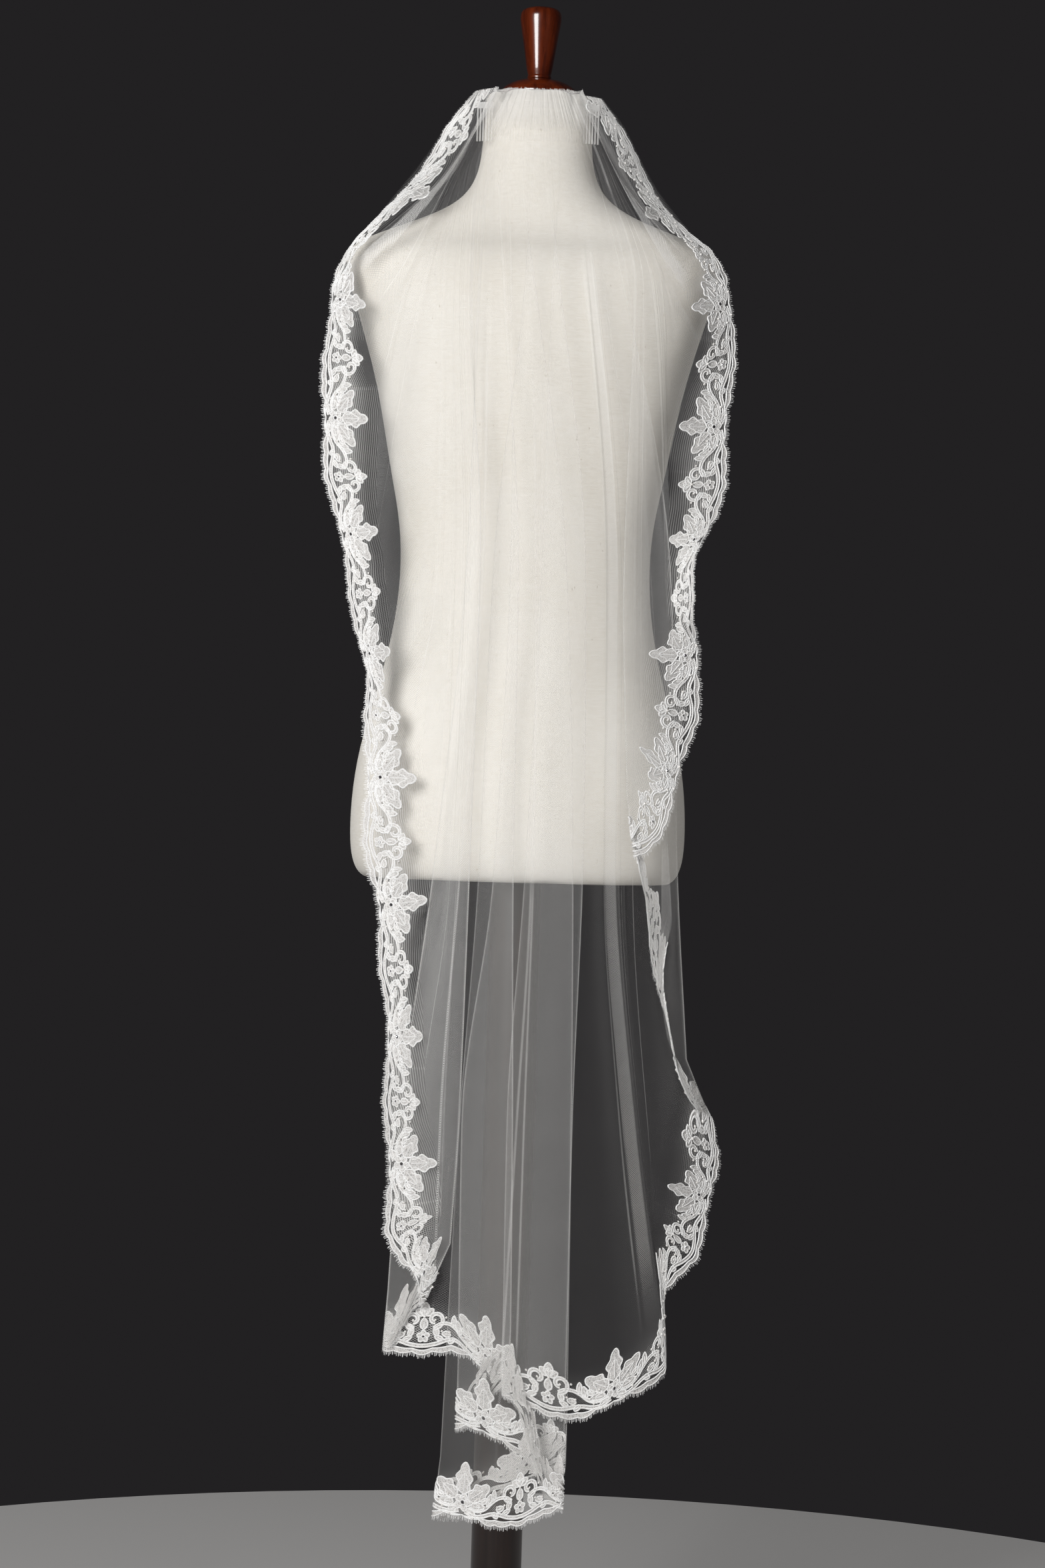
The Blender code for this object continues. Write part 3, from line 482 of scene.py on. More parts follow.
def roundDepth(x, z, columns, rows, most):
    half = tableValue(columns, rows, "half", z)
    depth = tableValue(columns, rows, "back", z)
    share = np.clip(np.abs(x) / half, 0.0, most)
    return depth * (1 - share ** veil["roundness"]) ** (1 / veil["roundness"])


def combDepth(x):
    near = np.minimum(np.abs(x), comb["reach"])
    return comb["back"] - comb["curve"] * near * near


def hangDepth(x, z):
    body = roundDepth(x, z, hangColumns, hangRows, 0.99)
    form = np.where(z < veil["formFoot"], 0.0, roundDepth(x, z, formColumns, formSections, 1.0))
    atComb = combDepth(x) + comb["thickness"] / 2 + comb["seat"] + comb["wall"] / 2 + comb["gather"]
    down = smoothStep(0.0, 1.0, (comb["top"] - z) / (comb["top"] - veil["hangsFree"]))
    return np.maximum(atComb * (1 - down) + body * down, form + veil["formClear"] * down)


def layerGap(z):
    return tableValue(gapColumns, layerGaps, "gap", z)


def linePath(line, shares):
    innerX = line["x"] + line["in_x"]
    innerZ = line["z"] + line["in_z"]
    xs = [veil["combShare"] * line["levels"][0]]
    zs = [veil["top"] / mm]
    for x, level in zip(line["levels"], veilLevels):
        if level > innerZ + 22:
            xs.append(x)
            zs.append(level)
    xs.append(innerX)
    zs.append(innerZ)
    lengths = np.concatenate([[0.0], np.cumsum(np.hypot(np.diff(xs), np.diff(zs)))])
    at = np.asarray(shares) * lengths[-1]
    return softCurve(lengths, xs, at) * mm, softCurve(lengths, zs, at) * mm


def keyColumns(shares):
    # one key column for each line, and three round each fold
    lines = [dict(zip(lineColumns, row)) for row in veilLines]
    edges = np.array([(line["x"], line["z"]) for line in lines]) * mm
    inners = edges + np.array([(line["in_x"], line["in_z"]) for line in lines]) * mm
    paths = [linePath(line, shares) for line in lines]
    allX = np.array([np.append(path[0], edge[0]) for path, edge in zip(paths, edges)])
    allZ = np.array([np.append(path[1], edge[1]) for path, edge in zip(paths, edges)])
    keys = []
    travelled = 0.0
    for k, line in enumerate(lines):
        if k:
            travelled += math.hypot(*(edges[k] - edges[k - 1]))
        key = {
            "name": line["name"], "u": travelled, "x": allX[k], "z": allZ[k],
            "curl": line["curl"] * mm, "layer": line["before"],
            "turn": False,
        }
        if "after" not in line:
            keys.append(key)
            continue
        side = 1.0 if inners[k][0] > inners[k - 1][0] else -1.0
        radius = 0.5 * abs(line["after"] - line["before"]) * layerGap(key["z"])
        reach = 1.2 * radius[-1] + 0.001
        middle = (line["before"] + line["after"]) / 2
        for step, layer in ((-1, line["before"]), (0, None), (1, line["after"])):
            part = dict(key)
            if step:
                tuck = np.clip(0.45 * side * (allX[k] - allX[k + step]), -veil["foldSpread"], radius)
                part["x"] = key["x"] - side * tuck
                part["layer"] = middle + 0.6 * (layer - middle)
            else:
                part["layer"] = middle
                part["turn"] = True
            part["u"] = travelled + step * reach
            keys.append(part)
    return keys


def gatherWave(u):
    # uneven small pleats: several wave lengths that never line up
    wave = np.sin(u / 0.0101) + 0.8 * np.sin(u / 0.0067 + 1.3) + 0.6 * np.sin(u / 0.0163 + 0.4)
    return (wave + 0.5 * np.sin(u / 0.0043 + 2.1)) / 2.4


def creaseHeight(u, share):
    total = np.zeros(np.broadcast(u, share).shape)
    for row in creaseRows:
        crease = dict(zip(creaseColumns, row))
        off = (u - crease["place"] * mm) / (crease["width"] * mm)
        run = smoothStep(crease["start"], crease["start"] + 0.12, share)
        run = run * (1 - smoothStep(crease["end"] - 0.15, crease["end"], share))
        total += crease["depth"] * mm * run / (1 + (2.2 * off) ** 4)
    return total


def veilPoints(at, shares, detail=True):
    # points of the cloth, a column for each place along the edge and a row for each share
    keys = keyColumns(shares)
    places = np.array([key["u"] for key in keys])
    count = len(shares) + 1
    x = np.array([softCurve(places, [key["x"][i] for key in keys], at) for i in range(count)]).T
    z = np.array([softCurve(places, [key["z"][i] for key in keys], at) for i in range(count)]).T
    layer = softCurve(places, [key["layer"] for key in keys], at)
    drop = np.zeros_like(x)
    drop[:, -1] = softCurve(places, [key["curl"] for key in keys], at)
    seenX, seenZ = x, z
    depth = hangDepth(x, z) + layer[:, None] * layerGap(z) - drop
    for _ in range(2):
        nearer = (eye["distance"] - depth) / (eye["distance"] - eye["plane"])
        x = seenX * nearer
        z = eye["height"] + (seenZ - eye["height"]) * nearer
        depth = hangDepth(x, z) + layer[:, None] * layerGap(z) - drop
    if detail:
        share = np.append(np.asarray(shares), 1.0)[None, :]
        # the gathers' waves are highest over the back and fade toward the edge
        over = smoothStep(0.95, 1.46, z) * (1 - 0.75 * smoothStep(1.545, 1.58, z))
        waves = veil["gatherHeight"] * gatherWave(at)[:, None] * (0.25 + 0.75 * over)
        depth += waves * (1 - smoothStep(0.55, 1.0, share))
        depth += creaseHeight(at[:, None], share) * (0.35 + 0.65 * (1 - smoothStep(1.45, 1.57, z)))
        nearest = hangDepth(x, z) - veil["sink"]
        depth = np.maximum(depth, np.where(z < veil["formFoot"] + 0.005, 0.0, nearest))
    return np.stack([x, -depth, z], axis=-1)


def columnPlaces():
    keys = keyColumns([0.0, 1.0])
    total = keys[-1]["u"]
    at = list(np.linspace(0, total, int(total / veil["step"]) + 1))
    near = np.array([-5.0, -3.2, -2.0, -1.1, -0.4, 0.4, 1.1, 2.0, 3.2, 5.0]) * mm
    for key in keys:
        if key["turn"]:
            at += list(key["u"] + near)
    for row in pleatRows:
        at += list(row[0] * mm + near[1:-1])
    at = np.array(sorted(u for u in at if 0 <= u <= total))
    keep = np.concatenate([[True], np.diff(at) > 0.0004])
    return at[keep], total


def rowRun(points):
    # how far each row has travelled across the cloth at each column
    steps = np.linalg.norm(np.diff(points, axis=0), axis=2)
    return np.concatenate([np.zeros((1, points.shape[1])), np.cumsum(steps, axis=0)])


def netLines(at, shares, points):
    # a fold's edge and a small pleat both show as a closer line of the same width all the way down
    run = rowRun(points)
    x, z = points[..., 0], points[..., 2]
    faint = 1 - 0.75 * smoothStep(1.40, 1.56, z)
    onForm = np.abs(x) < tableValue(formColumns, formSections, "half", z)
    faint = faint * np.where(onForm & (z > veil["formFoot"] + 0.005), net["onForm"], 1.0)
    lines = np.zeros(points.shape[:2])
    for key in keyColumns([0.0, 1.0]):
        if key["turn"]:
            off = run - run[int(np.argmin(np.abs(at - key["u"])))]
            lines += net["foldStrength"] * np.exp(-(off / net["foldWidth"]) ** 2) * faint
    for row in pleatRows:
        pleat = dict(zip(pleatColumns, row))
        half = pleat["half"] * mm
        off = np.abs(run - run[int(np.argmin(np.abs(at - pleat["place"] * mm)))])
        band = 1 - smoothStep(half - 0.0003, half + 0.0006, off)
        span = smoothStep(pleat["start"], pleat["start"] + 0.05, shares)
        span = span * (1 - 0.9 * smoothStep(pleat["end"] - 0.08, pleat["end"], shares))
        lines += pleat["strength"] * band * span * (faint if half < net["broadPleat"] else 1)
    return lines


def gridMesh(name, points):
    columns, rows = points.shape[:2]
    faces = []
    for j in range(columns - 1):
        for i in range(rows - 1):
            a = j * rows + i
            faces.append((a, a + 1, a + rows + 1, a + rows))
    mesh = bpy.data.meshes.new(name)
    mesh.from_pydata(points.reshape(-1, 3).tolist(), [], faces)
    mesh.update()
    return mesh


def linkPiece(name, mesh, *materials):
    piece = bpy.data.objects.new(name, mesh)
    scene.collection.objects.link(piece)
    for material in materials:
        piece.data.materials.append(material)
    return piece


def clothCoordinates(mesh, across, along):
    # u and v in metres on the flat cloth
    layer = mesh.uv_layers.new(name="cloth")
    loops = np.zeros(len(mesh.loops), np.int32)
    mesh.loops.foreach_get("vertex_index", loops)
    layer.data.foreach_set("uv", np.stack([across[loops], along[loops]], axis=1).astype(np.float32).ravel())


def pointValue(mesh, name, values):
    attribute = mesh.attributes.new(name, "FLOAT", "POINT")
    attribute.data.foreach_set("value", np.asarray(values, np.float32).ravel())


def netDensityAndLight(at, shares, points):
    # how much net lies behind each bit of the picture: more where it is folded or gathered, scaled by painted
    # light and shade by place along the edge
    extra = len(veil["bandRows"])
    flat = veilPoints(at, shares, detail=False)
    flat = np.concatenate([flat[:, :-1], points[:, -extra:]], axis=1)
    tangent = np.gradient(flat, at, axis=0)
    width = np.linalg.norm(tangent, axis=2)
    seen = np.abs(tangent[..., 0]) + 0.25 * np.abs(tangent[..., 2]) + 0.06
    closeness = 1 + net["slant"] * (np.clip(width / seen, 1.0, 3.2) - 1)
    pinch = np.clip(0.30 / np.maximum(width, 0.02), 1.0, 2.6)
    density = np.clip(closeness * pinch ** 0.45, 1.0, net["closest"])
    rowShares = np.concatenate([shares, np.ones(extra)])[None, :]
    # painted light and shade: the net's opacity share by place along the edge
    paintedLight = np.interp(at, [place * mm for place, tone in netPaintedLight], [tone for place, tone in netPaintedLight])
    density = density * paintedLight[:, None] * (1 + netLines(at, rowShares, points))
    # close gathers along the comb, and the edging's own closer net
    bunch = smoothStep(1.550, 1.592, points[..., 2])
    bunch *= 1 - smoothStep(0.040, 0.056, np.abs(points[..., 0]))
    tufts = 1 + 0.45 * np.sin(at / 0.0041) * np.sin(at / 0.0017 + 0.8)
    density += net["bunch"] * bunch * tufts[:, None]
    density[:, -len(net["border"]):] *= np.array(net["border"])
    return density


def makeTulle():
    at, total = columnPlaces()
    # rows lie closer near the comb
    shares = np.concatenate([np.linspace(0, 0.14, 14), np.linspace(0.16, 1.0, veil["rows"] - 22)])
    points = veilPoints(at, shares)
    ragged = np.sin(at / 0.021 + 1.0) * np.sin(at / 0.0083) - 0.8
    ends = smoothStep(0.026, 0.043, np.abs(points[:, 0, 0]))
    points[:, 0, 2] += veil["ragged"] * ragged - veil["endDrop"] * ends
    # the last stretch, over the edging's width, runs straight and gets rows of its own
    edge = points[:, -1]
    inner = points[:, -2]
    band = [inner + (edge - inner) * t for t in veil["bandRows"]]
    points = np.concatenate([points[:, :-1], np.stack(band, axis=1)], axis=1)
    mesh = gridMesh("tulleVeil", points)
    pointValue(mesh, "closeNetPaintedLight", netDensityAndLight(at, shares, points))
    columns, rows = points.shape[:2]
    steps = np.linalg.norm(np.diff(points, axis=1), axis=2)
    down = np.concatenate([np.zeros((columns, 1)), np.cumsum(steps, axis=1)], axis=1)
    clothCoordinates(mesh, np.repeat(rowRun(points)[:, rows // 2], rows), down.ravel())
    piece = linkPiece("tulleVeil", mesh, tulleNet)
    mesh.polygons.foreach_set("use_smooth", [True] * len(mesh.polygons))
    a, b, c, d = points[:-1, :-1], points[1:, :-1], points[1:, 1:], points[:-1, 1:]
    area = np.linalg.norm(np.cross(b - a, c - a), axis=2).sum() / 2
    area += np.linalg.norm(np.cross(c - a, d - a), axis=2).sum() / 2
    print("tulle made", len(mesh.polygons), "faces, area", round(area, 3), "edge", round(total, 3))
    return piece


tulle = makeTulle()


# corded lace: one repeat is drawn flat, then laid along the veil's edge
lace = {
    "repeat": 125.0, "cord": 1.55, "fineCord": 1.0, "height": 0.95, "lift": 0.55, "step": 1.9,
    "flowerSize": 8.2, "pearl": 1.25, "drawnIn": 6.0, "scallops": 7, "fringe": 4.4, "fringeGap": 1.3,
}
tile = {"points": [], "faces": [], "looks": []}


def addPoints(points):
    first = len(tile["points"])
    tile["points"] += [tuple(float(c) for c in p) for p in points]
    return first


def addFace(corners, look):
    tile["faces"].append(corners)
    tile["looks"].append(look)


def curveThrough(points, step):
    # even steps along a smooth curve through the points
    points = np.asarray(points, float)
    if len(points) > 2:
        padded = np.concatenate([[2 * points[0] - points[1]], points, [2 * points[-1] - points[-2]]])
        fine = []
        t = np.linspace(0, 1, 9)[:-1, None]
        for k in range(1, len(padded) - 2):
            p0, p1, p2, p3 = padded[k - 1:k + 3]
            fine.append(0.5 * (2 * p1 + (p2 - p0) * t + (2 * p0 - 5 * p1 + 4 * p2 - p3) * t * t
                               + (3 * p1 - p0 - 3 * p2 + p3) * t ** 3))
        points = np.concatenate(fine + [padded[-2:-1]])
    run = np.concatenate([[0.0], np.cumsum(np.linalg.norm(np.diff(points, axis=0), axis=1))])
    count = max(2, int(round(run[-1] / step)) + 1)
    at = np.linspace(0, run[-1], count)
    return np.stack([np.interp(at, run, points[:, k]) for k in range(2)], axis=1)


def sideways(line):
    ahead = np.gradient(line, axis=0)
    ahead /= np.maximum(np.linalg.norm(ahead, axis=1), 1e-9)[:, None]
    return np.stack([-ahead[:, 1], ahead[:, 0]], axis=1)


def addCord(line, width, height, base=0.0):
    # a raised cord with a half-round top
    side = sideways(line)
    profile = ((-0.5, 0.0), (-0.22, 1.0), (0.22, 1.0), (0.5, 0.0))
    rows = []
    for across, up in profile:
        at = line - side * across * width
        rows.append(np.column_stack([at, np.full(len(line), base + up * height)]))
    first = addPoints(np.concatenate(rows))
    n = len(line)
    for r in range(3):
        for k in range(n - 1):
            a = first + r * n + k
            addFace((a, a + n, a + n + 1, a + 1), 0)


def addFill(left, right, heightLeft, heightRight):
    n = min(len(left), len(right))
    first = addPoints([(*p, heightLeft) for p in left[:n]])
    addPoints([(*p, heightRight) for p in right[:n]])
    a, b, c = left[0], left[n // 2], right[n // 2]
    turn = (b[0] - a[0]) * (c[1] - a[1]) - (b[1] - a[1]) * (c[0] - a[0])
    for k in range(n - 1):
        corners = (first + k, first + k + 1, first + n + k + 1, first + n + k)
        addFace(corners if turn > 0 else corners[::-1], 1)


def addRibbon(line, width, cord):
    side = sideways(line)
    addCord(line + side * width / 2, cord, lace["height"])
    addCord(line - side * width / 2, cord, lace["height"])
    addFill(line + side * width / 2, line - side * width / 2, 0.3, 0.3)


def addLeaf(x, y, angle, length, width, round_, lobes=0.0, vein=True, inner=True):
    ahead = np.array([math.sin(angle), math.cos(angle)])
    aside = np.array([-ahead[1], ahead[0]])
    base = np.array([x, y])
    count = max(7, int(length / 2.4))
    t = np.linspace(0, 1, count)
    half = width / 2 * np.maximum(np.sin(math.pi * t ** 0.85), 0) ** round_
    if lobes:
        half *= 1 + 0.20 * np.sin(2 * math.pi * lobes * t - 0.9)
    middle = base + t[:, None] * length * ahead
    left = middle + half[:, None] * aside
    right = middle - half[:, None] * aside
    outline = np.concatenate([left, right[::-1][1:]])
    addCord(curveThrough(outline, lace["step"] * 0.9), lace["cord"], lace["height"])
    addFill(left, middle, 0.25, 0.55)
    addFill(middle, right, 0.55, 0.25)
    if inner:
        within = base + length * ahead * 0.10
        small = within + (outline[2:-2] - within) * 0.62
        addCord(curveThrough(small, lace["step"]), lace["fineCord"], 0.7, 0.15)
    if vein:
        addCord(curveThrough(middle[1:int(count * 0.8)], lace["step"]), lace["fineCord"], 0.8, 0.35)


def addPearl(x, y, radius):
    rings, sides = 4, 7
    points = [(x, y, radius * 1.9)]
    for r in range(1, rings):
        lean = math.pi * r / rings
        out = radius * math.sin(lean)
        up = radius * (0.9 + math.cos(lean))
        for s in range(sides):
            turn = 2 * math.pi * s / sides
            points.append((x + out * math.cos(turn), y + out * math.sin(turn), up))
    first = addPoints(points)
    for s in range(sides):
        n = (s + 1) % sides
        addFace((first, first + 1 + s, first + 1 + n), 2)
        for r in range(rings - 2):
            a = first + 1 + r * sides
            addFace((a + s, a + sides + s, a + sides + n, a + n), 2)


def addStone(x, y, radius):
    sides = 8
    points = []
    for size, up in ((1.0, 0.7), (0.95, 1.1), (0.55, 1.6)):
        for k in range(sides):
            turn = 2 * math.pi * k / sides
            points.append((x + radius * size * math.cos(turn), y + radius * size * math.sin(turn), up))
    points.append((x, y, 1.65))
    first = addPoints(points)
    for k in range(sides):
        n = (k + 1) % sides
        for r in range(2):
            a = first + r * sides
            addFace((a + k, a + n, a + sides + n, a + sides + k), 3)
        top = first + 2 * sides
        addFace((top + k, top + n, top + sides), 3)


def addRing(x, y, radius, cord):
    turn = np.linspace(0, 2 * math.pi, 12)
    line = np.stack([x + radius * np.cos(turn), y + radius * np.sin(turn)], axis=1)
    addCord(line, cord, lace["height"], 0.3)


def addFlower(x, y, size, petals, start):
    for k in range(petals):
        angle = start + 2 * math.pi * k / petals
        px = x + 0.22 * size * math.sin(angle)
        py = y + 0.22 * size * math.cos(angle)
        addLeaf(px, py, angle, size * 0.82, size * 0.78, 0.55, vein=False, inner=size > 6)
    addRing(x, y, size * 0.27, lace["fineCord"])
    addStone(x, y, size * 0.22)


def scrollLine(x, y, first, last, start, turns, way):
    t = np.linspace(0, 1, 26)
    radius = first + (last - first) * t ** 0.8
    angle = start + way * 2 * math.pi * turns * t
    return np.stack([x + radius * np.cos(angle), y + radius * np.sin(angle)], axis=1)


def edgeWave(a):
    # the border draws in behind each flower, and is scalloped all along
    turn = math.pi * a / lace["repeat"]
    wave = lace["drawnIn"] * np.cos(turn) ** 2 + 1.2 * np.sin(4 * turn) ** 2
    return wave + 2.2 * (1 - np.abs(np.sin(lace["scallops"] * turn)))


# one repeat's parts in millimetres, along the edge and in from it, with the large flower at 0
largeLeaves = [(0.0, 30.0, 16.0, 28.0), (-0.92, 28.0, 14.6, 25.0), (0.92, 28.0, 14.6, 25.0)]
# the wavy band that runs behind the flower to the next scroll, and the branch that carries the scroll
stemLine = [(3, 13), (12, 10.5), (22, 12.5), (31, 15.5), (40, 15), (49, 11.8), (58, 9.8)]
branchLine = [(7, 17), (16, 16), (25, 20), (33, 27), (40.5, 30.5), (48, 30), (53.5, 26.5)]
# small rounded leaves beside the flower and along the stem: x, y, angle, length, width
smallLeaves = [
    (5, 15.5, 2.05, 11, 6.0), (27, 22, 0.30, 13, 5.6), (34, 28, 0.05, 10.5, 5.0), (33, 17, 2.3, 8, 4.6),
    (44, 15, 1.2, 9, 4.4), (37, 19.5, 1.35, 9, 5.4), (50, 18.5, 0.25, 9.5, 5.2), (20, 24.5, 1.0, 9, 4.8),
]
pearlPlaces = [(12, 8.5), (24, 21.5), (38, 22.5), (46, 23.5), (42.5, 36.5), (15.5, 27), (20, 15.5)]


def mirroredLine(points, way):
    return curveThrough([(way * x, y) for x, y in points], lace["step"])


def makeTile():
    half = lace["repeat"] / 2
    a = np.linspace(-half, half, 85)
    outerCord = np.stack([a, 1.0 + edgeWave(a)], axis=1)
    hollow = 2.6 * np.sin(2 * math.pi * a / lace["repeat"]) ** 2
    innerCord = np.stack([a, 5.0 + 0.5 * edgeWave(a) + hollow], axis=1)
    addCord(outerCord, 1.2, lace["height"])
    addCord(innerCord, lace["cord"], lace["height"])
    addFill(outerCord[::2], innerCord[::2], 0.3, 0.3)
    addFlower(0, 21, lace["flowerSize"], 5, 0.3)
    for angle, length, width, start in largeLeaves:
        addLeaf(8.0 * math.sin(angle), start - 2 + 2.5 * math.cos(angle), angle, length, width, 0.72, 2.6)
    for way in (-1, 1):
        addRibbon(mirroredLine(stemLine + [(half, 9.6)], way), 2.6, lace["cord"])
        addRibbon(mirroredLine(branchLine, way), 2.2, lace["cord"])
        addLeaf(way * 9, 19, way * 1.45, 15, 8.5, 0.6)
        for x, y, angle, length, width in smallLeaves:
            addLeaf(way * x, y, way * angle, length, width, 0.7, inner=False)
        # the scroll, curling back to the stem
        start = math.pi / 2 - way * math.pi * 0.95
        addRibbon(scrollLine(way * 52.5, 34.5, 9.2, 2.6, start, 1.02, -way), 2.5, lace["cord"])
        addPearl(way * 52.5, 34.3, lace["pearl"])
        for x, y in pearlPlaces:
            addPearl(way * x, y, lace["pearl"])
    # the bud and the small flower where two repeats meet
    addLeaf(half, 38, 0.0, 13, 8.0, 0.6)
    addLeaf(half, 39, -1.0, 9.5, 6.4, 0.6, inner=False)
    addLeaf(half, 39, 1.0, 9.5, 6.4, 0.6, inner=False)
    addLeaf(half, 25, 0.0, 11, 6.5, 0.6, inner=False)
    addPearl(half, 37.5, lace["pearl"] * 1.15)
    addFlower(half, 18.5, 5.6, 5, 0.0)
    # eyelash fringe
    for k in range(int(lace["repeat"] / lace["fringeGap"])):
        at = -half + (k + 0.5) * lace["fringeGap"]
        root = 1.0 + float(edgeWave(np.array(at)))
        tip = root - lace["fringe"] * (0.82 + 0.18 * math.sin(k * 1.7))
        lean = 0.5 * math.sin(k * 2.4)
        first = addPoints([
            (at - 0.22, root, 0.3), (at + 0.22, root, 0.3),
            (at + 0.16 + lean, tip, 0.35), (at - 0.16 + lean, tip, 0.35),
        ])
        addFace((first + 3, first + 2, first + 1, first), 0)


makeTile()
tilePoints = np.array(tile["points"])
print("lace repeat", len(tile["points"]), "points", len(tile["faces"]), "faces")

# the edging's lines on the veil: the edge, the inner limit and how both turn
edgeKeys = keyColumns([0.0, 1.0])
edgeTotal = edgeKeys[-1]["u"]
edgeAt = np.arange(0, edgeTotal + 0.0005, 0.001)
edgeRows = veilPoints(edgeAt, [0.0, 1.0], detail=False)
edgeLine = edgeRows[:, -1]
innerLine = edgeRows[:, -2]
edgeTurn = np.gradient(edgeLine, edgeAt, axis=0)
innerTurn = np.gradient(innerLine, edgeAt, axis=0)
edgeWidth = np.linalg.norm(innerLine - edgeLine, axis=1)


def onVeil(u, b, h):
    def at(values):
        return np.stack([np.interp(u, edgeAt, values[:, k]) for k in range(3)], axis=1)
    outer, inner = at(edgeLine), at(innerLine)
    width = np.interp(u, edgeAt, edgeWidth)
    scale = np.minimum(1.0, width / veil["flowerDepth"])
    t = (b * scale / width)[:, None]
    along = at(edgeTurn) * (1 - t) + at(innerTurn) * t
    normal = np.cross(along, inner - outer)
    normal /= np.maximum(np.linalg.norm(normal, axis=1), 1e-9)[:, None]
    return outer + (inner - outer) * t + normal * h[:, None]


def flowerWarp(k, a):
    # a place in a repeat becomes a place along the edge
    here = flowerPlaces[k]
    before = flowerPlaces[k - 1] if k else here - 120
    after = flowerPlaces[k + 1] if k + 1 < len(flowerPlaces) else here + 120
    share = a / (lace["repeat"] / 2)
    return np.where(a < 0, here + share * (here - before) / 2, here + share * (after - here) / 2) * mm


def makeLace(name, first, last, start, end):
    # the repeats from first to last, with the faces that lie between two places on the edge
    points, faces, looks, flat = [], [], [], []
    offset = 0
    heights = (tilePoints[:, 2] + lace["lift"]) * mm
    cell = [np.array(face) for face in tile["faces"]]
    for k in range(first, last):
        u = flowerWarp(k, tilePoints[:, 0])
        points.append(onVeil(np.clip(u, 0, edgeTotal), tilePoints[:, 1] * mm, heights))
        flat.append(np.stack([u, tilePoints[:, 1] * mm], axis=1))
        for face, look in zip(cell, tile["looks"]):
            if start <= u[face].mean() <= end:
                faces.append(tuple(int(i) + offset for i in face))
                looks.append(look)
        offset += len(tilePoints)
    points = np.concatenate(points)
    flat = np.concatenate(flat)
    used = np.zeros(len(points), bool)
    used[[i for face in faces for i in face]] = True
    place = np.cumsum(used) - 1
    faces = [tuple(int(place[i]) for i in face) for face in faces]
    mesh = bpy.data.meshes.new(name)
    mesh.from_pydata(points[used].tolist(), [], faces)
    mesh.update()
    piece = linkPiece(name, mesh, *laceLooks)
    mesh.polygons.foreach_set("material_index", looks)
    mesh.polygons.foreach_set("use_smooth", [look != 3 for look in looks])
    clothCoordinates(mesh, flat[used][:, 0], flat[used][:, 1])
    print(name, sum(len(face) - 2 for face in faces), "triangles")
    return piece


keyPlace = {key["name"]: key["u"] for key in edgeKeys}
laceLeft = makeLace("laceEdgeLeft", 0, 12, 0.0, keyPlace["left_22"])
laceHem = makeLace("laceEdgeHem", 9, 22, keyPlace["left_22"], keyPlace["flap_4"])
laceRight = makeLace("laceEdgeRight", 19, 31, keyPlace["flap_4"], edgeTotal)


def onlySelect(piece):
    bpy.ops.object.select_all(action="DESELECT")
    piece.select_set(True)
    bpy.context.view_layer.objects.active = piece


def smoothForm():
    # the torso's own solid, made whole and rounded
    piece = linkPiece("linenForm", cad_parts["form_torso"].data.copy())
    piece.data.materials.clear()
    piece.data.materials.append(linen)
    onlySelect(piece)
    bpy.ops.object.mode_set(mode="EDIT")
    bpy.ops.mesh.select_all(action="SELECT")
    bpy.ops.mesh.remove_doubles(threshold=0.0001)
    bpy.ops.mesh.tris_convert_to_quads(face_threshold=math.radians(40), shape_threshold=math.radians(40))
    bpy.ops.object.mode_set(mode="OBJECT")
    rounder = piece.modifiers.new("round", "SUBSURF")
    rounder.levels = 2
    rounder.render_levels = 2
    bpy.ops.object.modifier_apply(modifier="round")
    bpy.ops.object.shade_smooth()
    return piece


def turnedPiece(name, low, profile, material, steps=72):
    # a profile of radius and height above its foot, in millimetres, spun round the pole's axis
    mesh = bpy.data.meshes.new(name)
    points = [(radius * mm, 0, low + z * mm) for radius, z in profile]
    mesh.from_pydata(points, [(k, k + 1) for k in range(len(profile) - 1)], [])
    piece = linkPiece(name, mesh, material)
    onlySelect(piece)
    bpy.ops.object.mode_set(mode="EDIT")
    bpy.ops.mesh.select_all(action="SELECT")
    bpy.ops.mesh.spin(steps=steps, angle=2 * math.pi, center=(0, 0, 0), axis=(0, 0, 1))
    bpy.ops.mesh.select_all(action="SELECT")
    bpy.ops.mesh.remove_doubles(threshold=0.00005)
    bpy.ops.mesh.normals_make_consistent(inside=False)
    bpy.ops.object.mode_set(mode="OBJECT")
    bpy.ops.object.shade_smooth_by_angle(angle=math.radians(38))
    return piece


form = smoothForm()
stand = {"cap": 1.5973, "finial": 1.6151}
cap = turnedPiece("turnedCap", stand["cap"], [
    (0, 17.5), (12.5, 17.3), (13.5, 17), (20, 15.7), (25, 14.3), (29, 12.5), (32.5, 10.4), (35.2, 8.1),
    (37.5, 5.7), (38.8, 3.8), (39.5, 2.2), (39.2, 0.9), (38, 0), (0, 0),
], mahogany)
finial = turnedPiece("turnedFinial", stand["finial"], [
    (0, 70.8), (6, 70.7), (11.2, 70.2), (15.5, 69.2), (18.4, 67.5), (19.9, 64.8), (20.4, 61.2),
    (20.3, 57.7), (19.7, 53.7), (18.7, 47.5), (17.5, 40.5), (16.4, 33.5), (15.3, 26.5), (14.3, 20),
    (13.3, 13.5), (12.3, 8), (11.5, 5), (11.2, 3.6), (11.7, 2.9), (12, 1.8), (11.9, 0.6), (11.5, 0),
    (0, 0),
], mahogany)
pole = turnedPiece("turnedPole", 0, [
    (0, 824.7), (24.3, 824.7), (25, 824), (25, 31), (24.7, 30.3), (0, 30.3),
], darkWood)
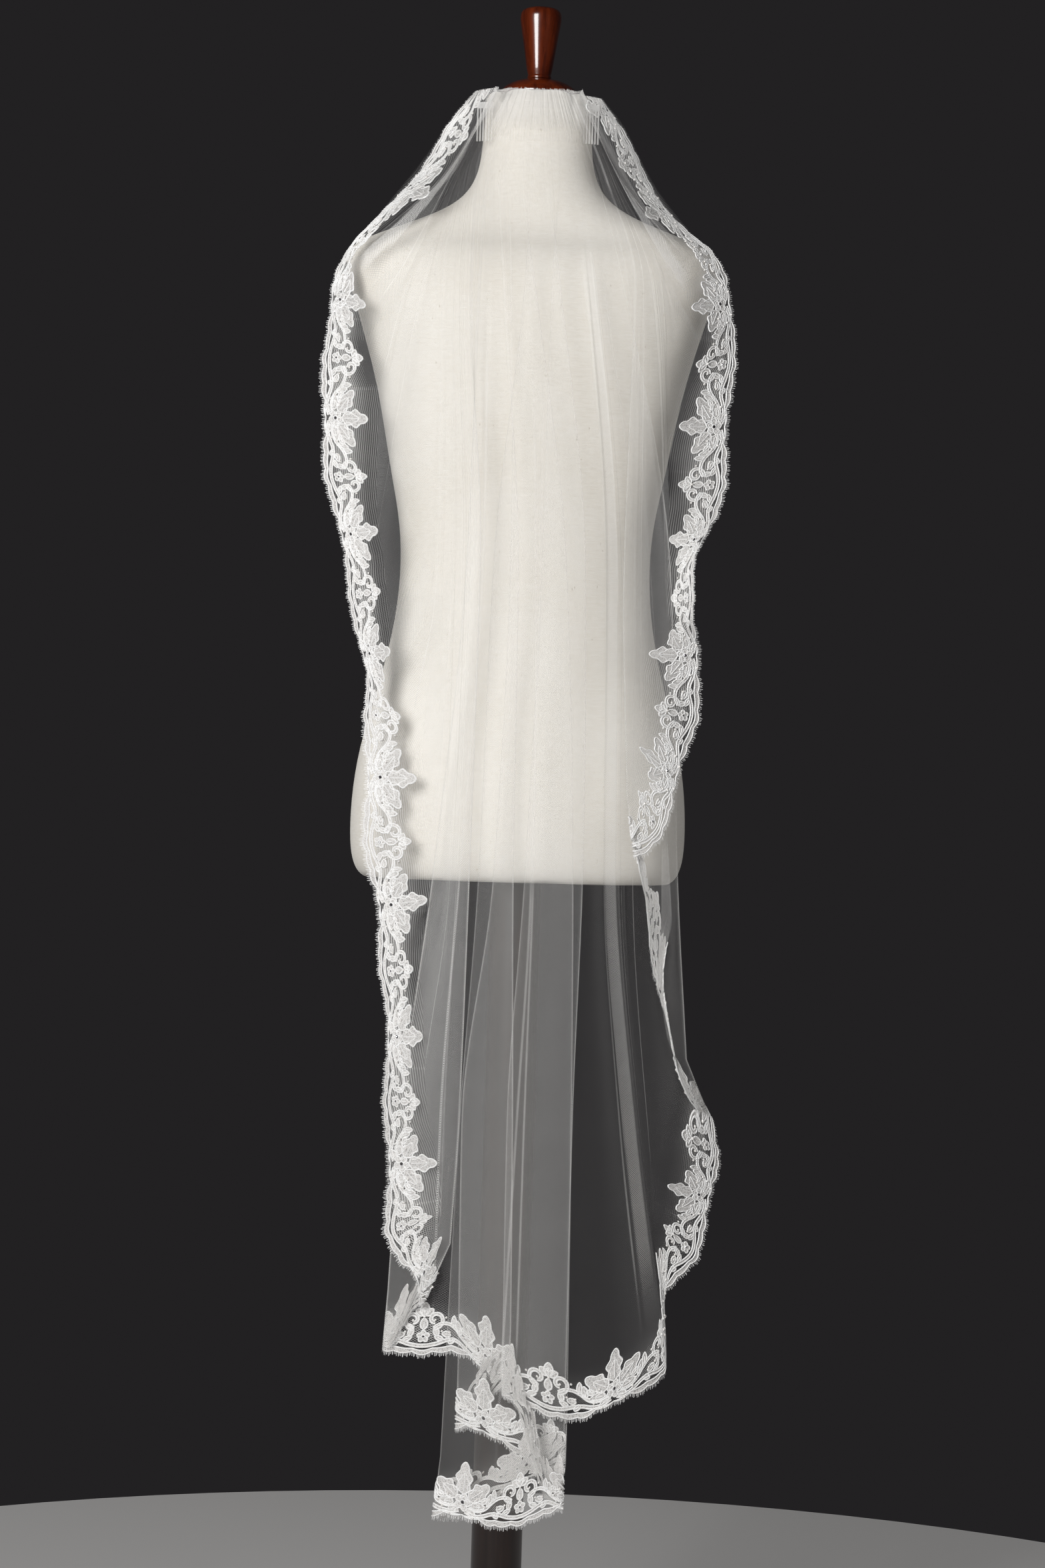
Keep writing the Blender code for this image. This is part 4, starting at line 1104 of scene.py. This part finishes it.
base = turnedPiece("roundFoot", 0, [
    (0, 30), (29, 30), (31, 29.7), (160, 29.7), (170, 29.2), (180, 27.2), (187, 24.2), (192, 20),
    (194.5, 15), (195, 10), (195, 4), (194, 1.2), (192, 0), (0, 0),
], darkWood, steps=96)
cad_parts["comb"].data.materials.clear()
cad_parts["comb"].data.materials.append(combPlastic)
print("form and stand made")

bpy.ops.mesh.primitive_cylinder_add(vertices=96, radius=1.15, depth=0.02, location=(0, 0, -0.0102))
floor = bpy.context.active_object
floor.name = "paleFloor"
onlySelect(floor)
bpy.ops.object.transform_apply(location=True, rotation=True, scale=True)
bevel = floor.modifiers.new("edge", "BEVEL")
bevel.width = 0.004
bevel.segments = 3
bpy.ops.object.modifier_apply(modifier="edge")
floor.data.materials.append(newMaterial("paleFloor", (0.55, 0.54, 0.53), 0.75)[0])

world = bpy.data.worlds.new("studio")
world.use_nodes = True
background = world.node_tree.nodes["Background"]
background.inputs["Color"].default_value = (0.016, 0.015, 0.016, 1)
background.inputs["Strength"].default_value = 1.0
scene.world = world
lampColumns = ("name", "place", "aim", "wide", "tall", "power", "shine")
lampRows = [
    ("key", (-1.25, -2.5, 1.75), (0, 0, 1.30), 1.1, 1.5, 68, True),
    ("fill", (1.9, -2.4, 1.3), (0, 0, 0.9), 1.6, 1.6, 12, False),
    ("low", (-0.4, -2.6, 0.4), (0, 0, 0.5), 1.2, 1.2, 7, False),
    ("rimLeft", (-1.6, 1.3, 1.9), (0, 0, 1.0), 0.9, 0.9, 12, False),
    ("rimRight", (1.6, 1.3, 1.9), (0, 0, 1.0), 0.9, 0.9, 8, False),
]
for row in lampRows:
    lamp = dict(zip(lampColumns, row))
    data = bpy.data.lights.new(lamp["name"], "AREA")
    data.shape = "RECTANGLE"
    data.size = lamp["wide"]
    data.size_y = lamp["tall"]
    data.energy = lamp["power"]
    light = bpy.data.objects.new(lamp["name"], data)
    light.visible_glossy = lamp["shine"]
    scene.collection.objects.link(light)
    light.location = lamp["place"]
    away = np.array(lamp["place"]) - np.array(lamp["aim"])
    flatAway = math.hypot(away[0], away[1])
    light.rotation_euler = (math.atan2(flatAway, away[2]), 0, math.atan2(away[0], -away[1]))
scene.view_settings.view_transform = "Standard"
scene.cycles.transparent_max_bounces = 32

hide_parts("tulle")
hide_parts("lace_left")
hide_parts("lace_hem")
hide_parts("lace_right")
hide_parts("form_torso")
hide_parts("neck_cap")
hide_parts("finial")
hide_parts("pole")
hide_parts("base")
slots = [(tulle, "tulle"), (laceLeft, "lace"), (laceHem, "lace"), (laceRight, "lace"), (form, "linen"),
         (cap, "mahogany"), (finial, "mahogany"), (pole, "dark_wood"), (base, "dark_wood")]
for piece, name in slots:
    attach(piece, "root")
